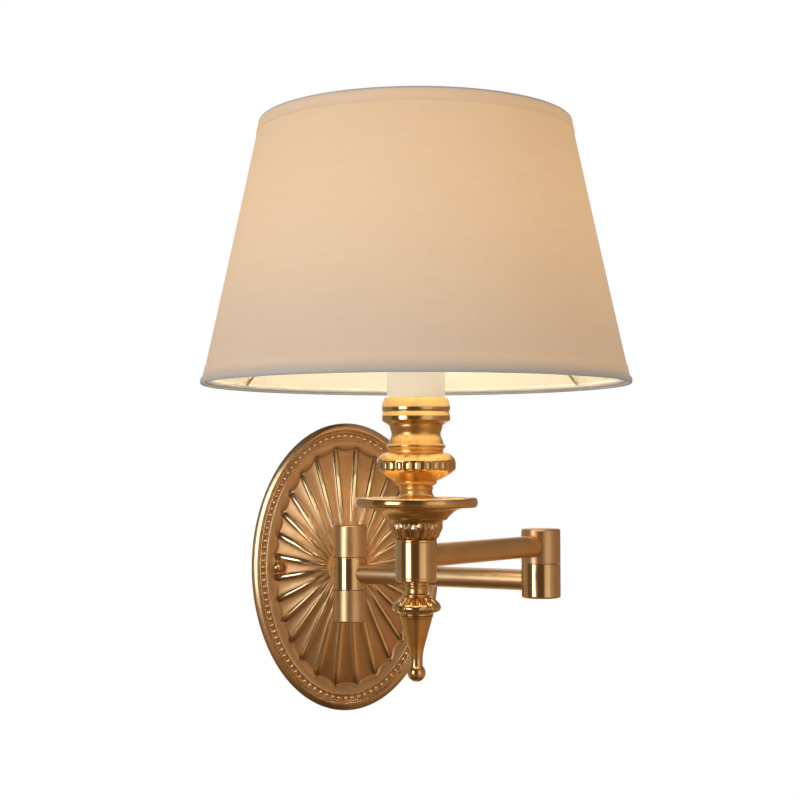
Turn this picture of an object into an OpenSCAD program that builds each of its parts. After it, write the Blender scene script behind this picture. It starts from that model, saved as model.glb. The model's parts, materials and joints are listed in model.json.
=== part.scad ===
// Swing arm wall sconce: fluted oval wall plate, two pivoting arms, turned candle column and drum shade.
// Millimetres. Origin at the centre of the wall face, the wall is the plane y = 0, +Z up, the lamp reaches
// towards -Y. Brass pieces are stacked on a hollow threaded rod, the arms turn on hollow pivot tubes.

/* [Wall plate] */
// Width of the oval wall plate
plate_w = 138; // [124:1:160]
// Height of the oval wall plate
plate_h = 211; // [190:1:240]
// Metal thickness of the wall plate
plate_wall = 1.8; // [1.4:0.1:2.4]
// Height of the rounded outer rim above the wall
rim_rise = 6.6; // [5.5:0.1:8]
// Rise of the flutes' outer ends above the rim's band
flute_step = 0.4; // [0.2:0.1:1]
// Height of the fluted dome above the wall, at its centre
dome_rise = 18; // [15:0.5:21]
// Distance from the plate edge to the middle of the bead ring
bead_inset = 8.6; // [7.5:0.1:10]
// Distance from the plate edge to the outer ends of the flutes
flute_inset = 17.8; // [15:0.1:21]
// Number of flutes round the dome
flute_count = 28; // [20:2:36]
// Depth of a flute at its outer end
flute_depth = 1.5; // [0.8:0.1:2]
// Diameter of the flat boss in the middle of the dome
boss_d = 28; // [24:0.5:32]

/* [Wall bracket] */
// Length of the steel strap on the wall
strap_l = 116; // [110:1:120]
// Height of the steel strap
strap_w = 22; // [18:0.5:26]
// Thickness of the steel strap
strap_t = 2; // [1.5:0.1:2.5]
// Distance between the two wall screw slots
screw_pitch = 60; // [50:1:70]
// Length of a wall screw slot
slot_l = 11; // [8:0.5:14]
// Width of a wall screw slot
slot_w = 5; // [4:0.1:6]
// Distance between the two plate studs
stud_pitch = 101; // [98:0.5:104]
// Diameter of a plate stud
stud_d = 4; // [3:0.1:5]
// Diameter of the ball nut on a stud
ball_nut_d = 8; // [7:0.1:10]
// Length of the connector block
block_l = 16; // [14:0.5:20]
// Height of the connector block
block_w = 14; // [11:0.5:16]
// Depth of the connector block
block_t = 7; // [5:0.5:8]
// Diameter of the earth screw's head
earth_head_d = 7; // [6:0.5:9]

/* [Pivots] */
// Distance from the wall to the wall pivot's axis
stand_off = 42; // [40:0.5:50]
// How far the wall pivot's middle sits below the plate's centre
pivot_drop = 2.5; // [0:0.5:5]
// Diameter of the two fixed segments of the wall pivot
yoke_d = 24.2; // [23:0.1:27]
// Diameter of the turning segment of the wall pivot
wall_hub_d = 23.6; // [22.5:0.1:27]
// Diameter of the two elbow segments
elbow_hub_d = 26; // [24:0.1:30]
// Height of one pivot segment
seg_h = 23; // [21:0.5:26]
// Running gap between two segments
seg_gap = 0.3; // [0.2:0.05:0.4]
// Radius of the rounded end of a pivot
pivot_edge = 1.4; // [0.8:0.1:2]
// Diameter of a pivot tube
pivot_d = 10; // [9:0.1:11]
// Bore of a pivot tube
pivot_bore = 7; // [5:0.1:7.4]
// Thickness of the solid floor of an elbow segment
floor_t = 6; // [5:0.5:6.5]
// Thickness of a pivot's end cap
cap_t = 2; // [1.5:0.1:2.5]
// Width of the hub wall round an end cap
cap_rim = 2.7; // [2.2:0.1:3.2]
// Thickness of a friction washer
washer_t = 1; // [0.8:0.1:1.2]
// Thickness of the wave washer under the elbow
wave_t = 0.8; // [0.6:0.1:1]
// Width across the flats of a pivot nut
nut_af = 14; // [13:0.1:14.5]
// Thickness of a pivot nut
nut_t = 4; // [3:0.1:4.5]
// Width of the back bar of the yoke
yoke_bar_w = 14; // [12:0.5:16]
// Thickness of the back bar of the yoke
yoke_bar_t = 6.6; // [6:0.1:7]
// Diameter of the yoke's stem
stem_d = 16; // [14:0.5:18]
// Diameter of the yoke's collar on the plate
collar_d = 26; // [22:0.5:27]
// Thickness of the yoke's collar
collar_t = 2.6; // [2:0.1:3]
// Diameter of the yoke's threaded shank
shank_d = 10; // [9:0.5:11]
// Wire bore through the shank
shank_bore = 6; // [5:0.1:6.5]
// Width and depth of the wire channel in the yoke's back bar
channel_w = 4.4; // [4.4:0.1:5]

/* [Arms] */
// Distance between the axes at the two ends of an arm
arm_l = 150; // [130:1:190]
// Outer diameter of an arm tube
arm_d = 14; // [12:0.1:15]
// Wall of an arm tube
arm_wall = 1.5; // [1:0.1:2]
// Angle of the lower arm from the wall, as stored
lower_swing = 37; // [25:1:60]
// Angle between the two arms, as stored
elbow_fold = 86.5; // [80:0.5:110]
// Diameter of the lead in the arms and the stem
lead_d = 3.6; // [3:0.1:3.8]

/* [Column] */
// Diameter of the polished sleeve that the upper arm enters
sleeve_d = 24.4; // [22.5:0.1:27]
// Height of the sleeve
sleeve_h = 24.7; // [22:0.1:28]
// How far the sleeve reaches below the upper arm's axis
sleeve_below = 14.4; // [12:0.1:15]
// Diameter of the hollow threaded rod
rod_d = 8; // [7:0.1:8.4]
// Bore of the hollow rod
rod_bore = 5.6; // [4:0.1:5.8]
// Diameter of the ring below the sleeve
ring_d = 14; // [12:0.1:20]
// Height of the ring below the sleeve
ring_h = 2.3; // [1.8:0.1:4]
// Diameter of the finial's neck
neck_d = 13.2; // [12:0.1:15]
// Height of the finial's neck
neck_h = 4.9; // [3:0.1:6]
// Diameter of the bead between the finial's neck and bulb
neck_bead_d = 16.6; // [15.4:0.1:19]
// Height of that bead
neck_bead_h = 1.6; // [1:0.1:2.4]
// Largest diameter of the fluted finial bulb
bulb_knob_d = 29; // [25:0.1:32]
// Height of the fluted finial bulb with its neck
bulb_knob_h = 17.3; // [16:0.1:20]
// Diameter of the top rim of the finial spike
spike_rim_d = 20; // [17:0.1:22]
// Diameter of the finial spike just above its ball
spike_tip_d = 7.2; // [6:0.1:9]
// Length of the finial spike down to its ball
spike_l = 29.4; // [24:0.1:34]
// Diameter of the ball at the finial's tip
tip_ball_d = 10.6; // [10:0.1:14]
// Height of the leafed cup under the dish
leaf_h = 12.1; // [10:0.1:14]
// Diameter of the leafed cup at its foot
leaf_foot_d = 25.6; // [24.6:0.1:28]
// Diameter of the leafed cup at its top
leaf_top_d = 37.2; // [34:0.1:40]
// Diameter of the drip dish
dish_d = 72.2; // [64:0.1:80]
// Thickness of the drip dish's rim
dish_rim_t = 5.8; // [4.5:0.1:7]
// Rounding of the rim's edges
dish_edge_r = 1.4; // [0.8:0.1:2.2]
// Rise of the flare from the leafed cup to the rim
dish_flare_h = 6.1; // [5:0.1:8]
// Depth of the hollow in the dish's top
dish_hollow = 2.4; // [0.8:0.1:3.5]
// Diameter of the vase's foot
vase_foot_d = 24; // [21:0.1:28]
// Diameter of the vase's neck above its foot
vase_neck_d = 19.2; // [17:0.1:20]
// Largest diameter of the fluted vase
vase_d = 46.4; // [42:0.1:52]
// Diameter of the vase's top
vase_top_d = 31.8; // [28:0.1:33]
// Height of the vase
vase_h = 27.5; // [25:0.1:31]
// Diameter of the vase where its neck's cone ends
vase_ledge_d = 27.4; // [25:0.1:30]
// Width of the vase's seat round its hollow
vase_wall = 3.2; // [2:0.1:4]
// Diameter of the sharp ridge above the vase
ridge_d = 34.6; // [33.2:0.1:38]
// Diameter of the waist below the candle cup
waist_d = 28.4; // [25:0.1:31]
// Height of the waisted piece
waist_h = 14.9; // [13:0.1:17]
// Diameter of the candle cup's foot
cup_foot_d = 31.4; // [31.2:0.1:34]
// Diameter of the candle cup's two bands
cup_d = 40.2; // [38.4:0.1:44]
// Height of the candle cup
cup_h = 15.7; // [14.6:0.1:18]
// Thickness of the candle cup's floor
cup_floor = 5.7; // [5:0.1:6.5]

/* [Candle and lamp holder] */
// Diameter of the candle tube
candle_d = 34; // [33:0.1:36]
// Wall of the candle tube
candle_wall = 1.2; // [0.8:0.1:1.5]
// Length of the candle tube
candle_l = 62; // [60:0.5:75]
// Height of the lamp holder's cap
holder_cap_h = 10; // [9:0.5:11]
// Diameter of the threaded collar on top of the lamp holder
holder_collar_d = 29.4; // [29:0.1:30]
// Height of the threaded collar above the candle tube
holder_collar_h = 7; // [6:0.5:9]
// Inner diameter of the lamp holder's screw shell
screw_shell_d = 27.2; // [27:0.1:27.4]
// Diameter of the bulb's screw cap
bulb_cap_d = 26.4; // [26:0.1:26.6]
// Length of the bulb's screw cap
bulb_cap_l = 25; // [23:0.5:27]
// Diameter of the bulb's glass
bulb_d = 55; // [45:0.5:60]
// Height of the bulb's glass above its cap
bulb_h = 76; // [70:0.5:82]
// Thickness of the bulb's glass
bulb_wall = 1; // [0.8:0.1:1.5]

/* [Shade] */
// Diameter of the shade at its bottom edge
shade_d = 250; // [230:1:270]
// Diameter of the shade at its top edge
shade_top_d = 184; // [170:1:200]
// Height of the shade
shade_h = 153.5; // [145:0.5:165]
// Gap from the candle cup's top up to the shade's bottom edge
shade_lift = 8; // [6:0.5:14]
// Thickness of the fabric
fabric_t = 0.7; // [0.5:0.1:1]
// Thickness of the stiff lining
lining_t = 0.6; // [0.4:0.1:0.8]
// Height of the folded hem on the outside of the shade
hem_h = 7.5; // [5:0.5:9]
// Thickness of the folded hem
hem_t = 0.5; // [0.4:0.1:0.8]
// How far the rolled bottom edge stands out
hem_roll = 0.8; // [0.2:0.1:1.2]
// Height of the rolled edge
hem_roll_h = 3.6; // [2.5:0.1:4.5]
// Thickness of the hem's turned-in strip
hem_turn_t = 0.3; // [0.2:0.1:0.5]
// Diameter of the wires in the shade's two edges
wire_d = 3; // [2.5:0.1:3.5]
// Diameter of the carrier's arms
arm_wire_d = 2.4; // [2:0.1:3]
// Diameter of the carrier's middle washer
carrier_d = 42; // [40:0.5:48]
// Thickness of the carrier's middle washer
carrier_t = 2; // [1.5:0.1:2.5]
// Outer diameter of the ring nut that clamps the shade
ring_nut_d = 37; // [34:0.5:39]
// Height of the ring nut
ring_nut_h = 4; // [3:0.5:5]
// Slope of the carrier's arms where they leave the bottom wire
arm_slope = 45; // [36:1:50]
// Turn of the carrier's first arm from straight ahead
carrier_turn = 5; // [0:1:15]

/* [Fits] */
// Radial clearance of a pivot tube in the segment that turns on it
run_clear = 0.05; // [0.02:0.01:0.08]
// Radial clearance between parts that are screwed or pushed together
seat_clear = 0.05; // [0.02:0.01:0.1]
// Clearance between loosely assembled parts
loose_clear = 0.3; // [0.2:0.05:0.5]

/* [Hidden] */
$fn = 96;
over = 0.01;

// Rest position of the three vertical axes
wall_axis = [0, -stand_off, -pivot_drop];
lower_dir = -lower_swing;
upper_dir = lower_dir - (180 - elbow_fold);
elbow_axis = wall_axis + arm_l*[cos(lower_dir), sin(lower_dir), 0];
column_axis = elbow_axis + [arm_l*cos(upper_dir), arm_l*sin(upper_dir), seg_h];

// Radii and heights inside the pivots
pivot_r = pivot_d/2;
run_r = pivot_r + run_clear;
fixed_r = pivot_r + seat_clear;
washer_r = pivot_r + 4;
washer_seat = washer_t - seg_gap + 0.1;
nut_r = nut_af/2/cos(30);
half_seg = (seg_h - seg_gap)/2;
arm_r = arm_d/2;
arm_bore_r = arm_r - arm_wall;
elbow_r = elbow_hub_d/2;
elbow_cap_r = elbow_r - cap_rim;
elbow_cavity_r = elbow_cap_r - 0.8;
yoke_r = yoke_d/2;
yoke_cap_r = yoke_r - cap_rim;
yoke_cavity_r = yoke_cap_r - 0.8;
yoke_cavity_h = nut_t + lead_d + 1.4;
yoke_top = half_seg + seg_gap + seg_h - seg_gap/2;
yoke_nut_seat = yoke_top - cap_t - yoke_cavity_h;
channel_top = yoke_top - cap_t - lead_d/2 - 0.7;
yoke_back = stand_off - yoke_r - loose_clear*2;
yoke_bar_front = min(yoke_back, stand_off - wall_hub_d/2 - loose_clear*2);
yoke_bar_back = yoke_bar_front - yoke_bar_t;
lead_r = lead_d/2;
// Turning range of the lower arm from its stored position
lower_range = [-70, 37];
rod_r = rod_d/2;
rod_hole_r = rod_r + seat_clear;

// Levels in the column, measured from the upper arm's axis
sleeve_top = sleeve_h - sleeve_below;
dish_bottom = sleeve_top + leaf_h;
dish_h = dish_flare_h + dish_rim_t;
vase_bottom = dish_bottom + dish_h;
waist_bottom = vase_bottom + vase_h;
cup_bottom = waist_bottom + waist_h;
cup_top = cup_bottom + cup_h;
candle_bottom = cup_bottom + cup_floor;
candle_top = candle_bottom + candle_l;
holder_cap_bottom = candle_bottom + nut_t + 1;
holder_bottom = holder_cap_bottom + holder_cap_h;
holder_top = candle_top + holder_collar_h;
bulb_cap_top = holder_top - 1;
bulb_cap_bottom = bulb_cap_top - bulb_cap_l;
ring_bottom = -sleeve_below - ring_h;
knob_bottom = ring_bottom - bulb_knob_h;
tip_r = tip_ball_d/2;
rod_bottom = knob_bottom + 5;
rod_top = holder_cap_bottom + holder_cap_h - 3;
candle_r = candle_d/2;
candle_bore_r = candle_r - candle_wall;
holder_r = candle_bore_r - loose_clear;
holder_collar_r = holder_collar_d/2;
shell_r = screw_shell_d/2;

// Shade: its bottom edge, its wires and its skins
shade_bottom = cup_top + shade_lift;
shade_slope = (shade_d - shade_top_d)/2/shade_h;
wire_r = wire_d/2;
skin_t = fabric_t + lining_t + 2*seat_clear;
wire_inset = (hem_t + skin_t + hem_turn_t + wire_r + 0.1)*sqrt(1 + shade_slope*shade_slope);
bottom_wire_z = wire_r + 1;
top_wire_z = shade_h - wire_r - 1;
carrier_z = candle_top + carrier_t/2 - shade_bottom;

// Wall plate outline: half axes of the oval at a distance inside the edge
inset_ratio = 1.09;
function oval(inset) = [plate_w/2 - inset, plate_h/2 - inset_ratio*inset];

// Angles that divide the flutes' oval into equal lengths, two points for each flute
plate_steps = 2*flute_count;
flute_oval = oval(flute_inset);
function oval_speed(t) = norm([flute_oval[0]*sin(t), flute_oval[1]*cos(t)]);
function oval_length(t) = t <= 0 ? 0 : oval_length(t - 2) + oval_speed(t - 1);
length_table = [for (t = [0:6:90]) [oval_length(t), t]];
quarter_length = oval_length(90);
function oval_angle(k) =
    let(turn = 4*k/plate_steps, q = floor(turn), part = (turn - q)*quarter_length)
    q % 2 == 0 ? 90*q + lookup(part, length_table) : 90*q + 90 - lookup(quarter_length - part, length_table);

// Radius of the shade's outside at a height above its bottom edge
function shade_r(z) = shade_d/2 - shade_slope*z;

// Points of a fillet from angle a to angle b round [x, y], n steps
function fillet(x, y, r, a, b, n = 6) = [for (i = [0:n]) [x + r*cos(a + (b - a)*i/n), y + r*sin(a + (b - a)*i/n)]];
// Quarter oval from p to q that leaves p upwards and reaches q sideways, without p itself
function rise_out(p, q, n = 8) = [for (i = [1:n]) [q[0] + (p[0] - q[0])*cos(90*i/n), p[1] + (q[1] - p[1])*sin(90*i/n)]];
// Quarter oval from p to q that leaves p sideways and reaches q upwards, without p itself
function out_rise(p, q, n = 8) = [for (i = [1:n]) [p[0] + (q[0] - p[0])*sin(90*i/n), q[1] + (p[1] - q[1])*cos(90*i/n)]];
// Smooth S from p to q, upright at both ends, without p itself
function s_bend(p, q, n = 8) =
    [for (i = [1:n]) let(t = i/n) [p[0] + (q[0] - p[0])*t*t*(3 - 2*t), p[1] + (q[1] - p[1])*t]];

module turned(points) {
    rotate_extrude()
        polygon(points);
}

// Solid of revolution with a bore through it
module bored(points, r, depth) {
    difference() {
        turned(points);
        translate([0, 0, -over])
            cylinder(h = depth + 2*over, r = r);
    }
}

module washer(r_in, r_out, t) {
    difference() {
        cylinder(h = t, r = r_out);
        translate([0, 0, -over])
            cylinder(h = t + 2*over, r = r_in);
    }
}

module hex_nut(across, t, r) {
    difference() {
        cylinder(h = t, r = across/2/cos(30), $fn = 6);
        translate([0, 0, -over])
            cylinder(h = t + 2*over, r = r);
    }
}

// Cylinder along an arm's direction, from one distance to another from the axis
module along(direction, from, to, r) {
    rotate([0, 0, direction])
        translate([from, 0, 0])
            rotate([0, 90, 0])
                cylinder(h = to - from, r = r);
}

module at_stud(side) {
    translate([side*stud_pitch/2, 0, 0])
        rotate([90, 0, 0])
            children();
}

module on_column(z) {
    translate(column_axis + [0, 0, z])
        children();
}

module on_shade(z) {
    on_column(shade_bottom + z)
        children();
}

// --- Wall bracket and what it carries ---

// Height of the plate's dome at a share s of the way from the boss to the flutes' ends, on the ridges
flute_rise = rim_rise + flute_step;
function dome(s) = flute_rise + (dome_rise - flute_rise)*(1 - s*s);
boss_r = boss_d/2;
// The inside of the dome straight in front of the strap, at distance x from the centre
function dome_inside(x) = dome((x - boss_r)/(flute_oval[0] - boss_r)) - flute_depth - plate_wall;
nut_seat = flute_rise;

module wall_bracket() {
    slot_end = (slot_l - slot_w)/2;
    color("silver")
    difference() {
        rotate([90, 0, 0])
            linear_extrude(strap_t)
                intersection() {
                    square([strap_l, strap_w], center = true);
                    circle(r = norm([strap_l/2, strap_w/2 - 4]));
                }
        for (side = [-1, 1]) {
            for (end = [-1, 1])
                translate([side*screw_pitch/2 + end*slot_end, over, 0])
                    rotate([90, 0, 0])
                        cylinder(h = strap_t + 2*over, r = slot_w/2);
            translate([side*screw_pitch/2 - slot_end, -strap_t - over, -slot_w/2])
                cube([2*slot_end, strap_t + 2*over, slot_w]);
            at_stud(side)
                translate([0, 0, -over])
                    cylinder(h = strap_t + 2*over, r = stud_d/2 + seat_clear);
        }
        translate([-screw_pitch/2 + slot_l/2 + 4 + earth_head_d/2, over, 0])
            rotate([90, 0, 0])
                cylinder(h = strap_t + 2*over, r = 2 + seat_clear);
    }
}

module bracket_studs() {
    color("silver")
    for (side = [-1, 1])
        at_stud(side)
            cylinder(h = nut_seat + ball_nut_d*0.6, r = stud_d/2);
}

module ball_nuts() {
    color("gold")
    for (side = [-1, 1])
        at_stud(side)
            translate([0, 0, nut_seat])
                difference() {
                    turned(concat([[0, 0], [ball_nut_d*0.36, 0], [ball_nut_d*0.36, ball_nut_d*0.15]],
                        fillet(0, ball_nut_d*0.5, ball_nut_d/2, -45, 90, 10)));
                    translate([0, 0, -over])
                        cylinder(h = ball_nut_d*0.6 + 0.3, r = stud_d/2 + seat_clear);
                }
}

module terminal_block() {
    bore_r = 1.8;
    color("ivory")
    translate([screw_pitch/2 - slot_l/2 - 1 - block_l, -strap_t, -block_w/2])
        difference() {
            translate([0, -block_t, 0])
                cube([block_l, block_t, block_w]);
            for (i = [0:2])
                translate([block_l*(i + 0.5)/3, -block_t/2, -over])
                    cylinder(h = block_w + 2*over, r = bore_r);
        }
}

module earth_screw() {
    color("gold")
    translate([-screw_pitch/2 + slot_l/2 + 4 + earth_head_d/2, 0, 0])
        rotate([90, 0, 0]) {
            cylinder(h = strap_t + 1, r = 2);
            translate([0, 0, strap_t])
                cylinder(h = 2.4, r = earth_head_d/2);
        }
}

// --- Fluted oval plate ---

// One ring of points round the plate: half axes, height on the ridges, height in the flutes
function ring(axes, ridge, valley) =
    [for (k = [0:plate_steps - 1]) let(t = oval_angle(k + 1))
        [axes[0]*cos(t), -(k % 2 == 0 ? ridge : valley), axes[1]*sin(t)]];

function level_ring(inset, height) = ring(oval(inset), height, height);

function dome_axes(s) = [boss_r + (flute_oval[0] - boss_r)*s, boss_r + (flute_oval[1] - boss_r)*s];

module backplate() {
    lip = 2.2;
    groove = rim_rise - 1.2;
    inside = groove - plate_wall;
    dome_shares = [1, 0.75, 0.5, 0.25, 0];
    outer = concat(
        level_ring(0, 0),
        level_ring(0, rim_rise*0.34),
        level_ring(1.2, rim_rise*0.7),
        level_ring(3.2, rim_rise*0.95),
        level_ring(bead_inset - lip, rim_rise),
        level_ring(bead_inset - lip + 0.6, groove),
        level_ring(bead_inset + lip - 0.6, groove),
        level_ring(bead_inset + lip, rim_rise),
        level_ring(flute_inset - 1, rim_rise),
        [for (s = dome_shares) each ring(dome_axes(s), dome(s), dome(s) - flute_depth*min(1, 2*s))]);
    inner = concat(
        [for (s = [0, 0.5, 1]) each ring(dome_axes(s), dome(s) - (s > 0 ? flute_depth : 0) - plate_wall,
            dome(s) - (s > 0 ? flute_depth : 0) - plate_wall)],
        level_ring(bead_inset + lip, inside),
        level_ring(3.4, inside*0.8),
        level_ring(2.4, 0));
    points = concat(outer, inner);
    rows = len(points)/plate_steps;
    outer_rows = len(outer)/plate_steps;
    n = plate_steps;
    // Between rows i and i + 1, the row after the last being the first; the two boss faces close the middle
    walls = [for (i = [0:rows - 1]) if (i != outer_rows - 1) each
        [for (k = [0:n - 1]) let(a = i*n + k, b = i*n + (k + 1) % n, c = ((i + 1) % rows)*n + k,
            d = ((i + 1) % rows)*n + (k + 1) % n) each [[a, b, d], [a, d, c]]]];
    front = [for (k = [0:n - 1]) (outer_rows - 1)*n + k];
    back = [for (k = [n - 1:-1:0]) outer_rows*n + k];
    color("gold")
    difference() {
        polyhedron(points, concat(walls, [front, back]));
        translate([0, 0, -pivot_drop])
            rotate([90, 0, 0])
                cylinder(h = dome_rise + 1, r = shank_d/2 + seat_clear);
        for (side = [-1, 1])
            at_stud(side) {
                cylinder(h = dome_rise, r = stud_d/2 + loose_clear);
                translate([0, 0, nut_seat])
                    cylinder(h = dome_rise, r = ball_nut_d/2 + loose_clear);
            }
    }
}

// --- Wall pivot ---

// Yoke segment whose rounded, capped end is at the top, from z = 0 to seg_h
module yoke_segment() {
    height = seg_h - seg_gap/2;
    difference() {
        turned(concat([[0, 0], [yoke_r, 0]], fillet(yoke_r - pivot_edge, height - pivot_edge, pivot_edge, 0, 90),
            [[0, height]]));
        translate([0, 0, -over])
            cylinder(h = height + 2*over, r = fixed_r);
        translate([0, 0, height - cap_t])
            cylinder(h = cap_t + over, r = yoke_cap_r + seat_clear);
        translate([0, 0, height - cap_t - yoke_cavity_h])
            cylinder(h = yoke_cavity_h + over, r = yoke_cavity_r);
    }
}

// The shank ends just behind its nut
plate_inside = dome_rise - plate_wall;
shank_back = plate_inside - washer_t - nut_t - 1.5;
web_h = seg_h - seg_gap/2 - pivot_edge;
channel_y = yoke_bar_front - channel_w/2;

module wall_yoke() {
    color("goldenrod")
    difference() {
        union() {
            for (up = [0, 1])
                translate(wall_axis + [0, 0, (2*up - 1)*(half_seg + seg_gap)])
                    mirror([0, 0, 1 - up]) {
                        yoke_segment();
                        difference() {
                            translate([-yoke_bar_w/2, 0, 0])
                                cube([yoke_bar_w, stand_off - yoke_bar_back, web_h]);
                            translate([0, 0, -over])
                                cylinder(h = web_h + 2*over, r = yoke_r - 1);
                        }
                    }
            translate([-yoke_bar_w/2, -yoke_bar_front, -pivot_drop - half_seg - seg_gap - web_h])
                cube([yoke_bar_w, yoke_bar_t, 2*(half_seg + seg_gap + web_h)]);
            translate([0, 0, -pivot_drop])
                rotate([90, 0, 0]) {
                    translate([0, 0, shank_back])
                        cylinder(h = yoke_bar_back - shank_back + 1, r = shank_d/2);
                    translate([0, 0, dome_rise])
                        cylinder(h = yoke_bar_back - dome_rise + 1, r = stem_d/2);
                    translate([0, 0, dome_rise])
                        cylinder(h = collar_t, r = collar_d/2);
                }
        }
        // Wire route: through the shank, up the back bar, into the upper segment over the nut
        translate([0, -shank_back + over, -pivot_drop])
            rotate([90, 0, 0])
                cylinder(h = yoke_bar_front - shank_back + 2*over, r = shank_bore/2);
        translate([-channel_w/2, -yoke_bar_front - over, -pivot_drop])
            cube([channel_w, channel_w + over, channel_top]);
        translate([0, -channel_y + channel_w/2, -pivot_drop + channel_top])
            rotate([90, 0, 0])
                cylinder(h = stand_off - channel_y + channel_w/2 - pivot_r, r = channel_w/2);
    }
}

module stem_washer() {
    color("silver")
    translate([0, -plate_inside + washer_t, -pivot_drop])
        rotate([90, 0, 0])
            washer(shank_d/2 + seat_clear, shank_d/2 + 4, washer_t);
}

module stem_nut() {
    color("silver")
    translate([0, -plate_inside + washer_t + nut_t, -pivot_drop])
        rotate([90, 0, 0])
            hex_nut(nut_af, nut_t, shank_d/2 + seat_clear);
}

// Round lead between two points, with a ball at its end
module lead_run(from, to) {
    path = to - from;
    translate(from)
        rotate([0, acos(path[2]/norm(path)), atan2(path[1], path[0])])
            cylinder(h = norm(path), r = lead_r);
    translate(to)
        sphere(r = lead_r);
}

module wall_lead() {
    corner = [0, -channel_y, -pivot_drop];
    color("ivory") {
        lead_run([0, -strap_t - 1, -pivot_drop], corner);
        lead_run(corner, corner + [0, 0, channel_top]);
        lead_run(corner + [0, 0, channel_top], [0, -stand_off + pivot_r + lead_r + 0.5, channel_top - pivot_drop]);
    }
}

module wall_pivot_tube() {
    reach = yoke_nut_seat + nut_t + 1;
    window = 20;
    reach_r = 2*pivot_r;
    color("silver")
    translate(wall_axis)
        difference() {
            translate([0, 0, -reach])
                washer(pivot_bore/2, pivot_r, 2*reach);
            translate([0, 0, -lead_r - 0.7])
                linear_extrude(lead_d + 1.4)
                    polygon(concat([[0, 0]], [for (i = [0:4])
                        let(a = lower_dir + lower_range[0] - window
                            + (lower_range[1] - lower_range[0] + 2*window)*i/4) [reach_r*cos(a), reach_r*sin(a)]]));
        }
}

module wall_pivot_nuts() {
    color("silver")
    for (up = [0, 1])
        translate(wall_axis)
            mirror([0, 0, 1 - up])
                translate([0, 0, yoke_nut_seat])
                    hex_nut(nut_af, nut_t, fixed_r);
}

module wall_pivot_caps() {
    color("goldenrod")
    for (up = [0, 1])
        translate(wall_axis)
            mirror([0, 0, 1 - up])
                translate([0, 0, yoke_top - cap_t])
                    cylinder(h = cap_t, r = yoke_cap_r);
}

module wall_hub() {
    r = wall_hub_d/2;
    color("gold")
    translate(wall_axis)
        difference() {
            translate([0, 0, -half_seg])
                bored([[0, 0], [r, 0], [r, 2*half_seg], [0, 2*half_seg]], run_r, 2*half_seg);
            for (up = [0, 1])
                mirror([0, 0, 1 - up])
                    translate([0, 0, half_seg - washer_seat])
                        cylinder(h = washer_seat + over, r = washer_r + loose_clear);
            along(lower_dir, 0, 2*r, arm_r + seat_clear);
        }
}

module wall_pivot_washers() {
    color("dimgray")
    for (up = [0, 1])
        translate(wall_axis)
            mirror([0, 0, 1 - up])
                translate([0, 0, half_seg - washer_seat])
                    washer(pivot_r + loose_clear, washer_r, washer_t);
}

// --- Lower arm and elbow ---

module arm_tube(direction, from, to) {
    difference() {
        along(direction, from, to, arm_r);
        along(direction, from - 1, to + 1, arm_bore_r);
    }
}

module lower_arm_tube() {
    color("goldenrod")
    translate(wall_axis)
        difference() {
            arm_tube(lower_dir, pivot_r, arm_l - elbow_cavity_r);
            translate([0, 0, -seg_h])
                cylinder(h = 2*seg_h, r = run_r + 1);
        }
}

module lead(direction, from, to) {
    translate([0, 0, lead_r + loose_clear - arm_bore_r])
        along(direction, from, to, lead_r);
}

module lower_arm_lead() {
    color("ivory")
    translate(wall_axis)
        lead(lower_dir, wall_hub_d/2, arm_l - elbow_r);
}

// Elbow segment whose rounded, capped end is at the top; its middle is at z = 0
module elbow_segment(floor_hole_r) {
    difference() {
        translate([0, 0, -half_seg])
            turned(concat([[0, 0], [elbow_r, 0]],
                fillet(elbow_r - pivot_edge, 2*half_seg - pivot_edge, pivot_edge, 0, 90), [[0, 2*half_seg]]));
        translate([0, 0, -half_seg - over])
            cylinder(h = floor_t + 2*over, r = floor_hole_r);
        translate([0, 0, -half_seg + floor_t])
            cylinder(h = seg_h, r = elbow_cavity_r);
        translate([0, 0, half_seg - cap_t])
            cylinder(h = cap_t + over, r = elbow_cap_r + seat_clear);
    }
}

module elbow_lower_hub() {
    color("gold")
    translate(elbow_axis)
        difference() {
            mirror([0, 0, 1])
                elbow_segment(run_r);
            translate([0, 0, half_seg - washer_seat])
                cylinder(h = washer_seat + over, r = washer_r + loose_clear);
            along(lower_dir + 180, elbow_cavity_r - 1, 2*elbow_r, arm_r + seat_clear);
        }
}

module elbow_bottom_cap() {
    color("gold")
    translate(elbow_axis + [0, 0, -half_seg])
        cylinder(h = cap_t, r = elbow_cap_r);
}

module elbow_washer() {
    color("dimgray")
    translate(elbow_axis + [0, 0, half_seg - washer_seat])
        washer(pivot_r + loose_clear, washer_r, washer_t);
}

module elbow_upper_hub() {
    color("goldenrod")
    translate(elbow_axis + [0, 0, seg_h])
        difference() {
            elbow_segment(fixed_r);
            along(upper_dir, elbow_cavity_r - 1, 2*elbow_r, arm_r + seat_clear);
        }
}

elbow_nut_low = half_seg - floor_t - wave_t - nut_t - 0.2;
elbow_nut_high = seg_h - half_seg + floor_t;

module elbow_pivot_tube() {
    color("silver")
    translate(elbow_axis + [0, 0, elbow_nut_low - 1])
        washer(pivot_bore/2, pivot_r, elbow_nut_high + nut_t + 1 - elbow_nut_low + 1);
}

module elbow_nuts() {
    color("silver")
    for (z = [elbow_nut_low, elbow_nut_high])
        translate(elbow_axis + [0, 0, z])
            hex_nut(nut_af, nut_t, fixed_r);
}

module elbow_wave_washer() {
    color("silver")
    translate(elbow_axis + [0, 0, elbow_nut_low + nut_t])
        washer(fixed_r, nut_af/2, wave_t);
}

module elbow_top_cap() {
    color("goldenrod")
    translate(elbow_axis + [0, 0, seg_h + half_seg - cap_t])
        cylinder(h = cap_t, r = elbow_cap_r);
}

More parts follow.
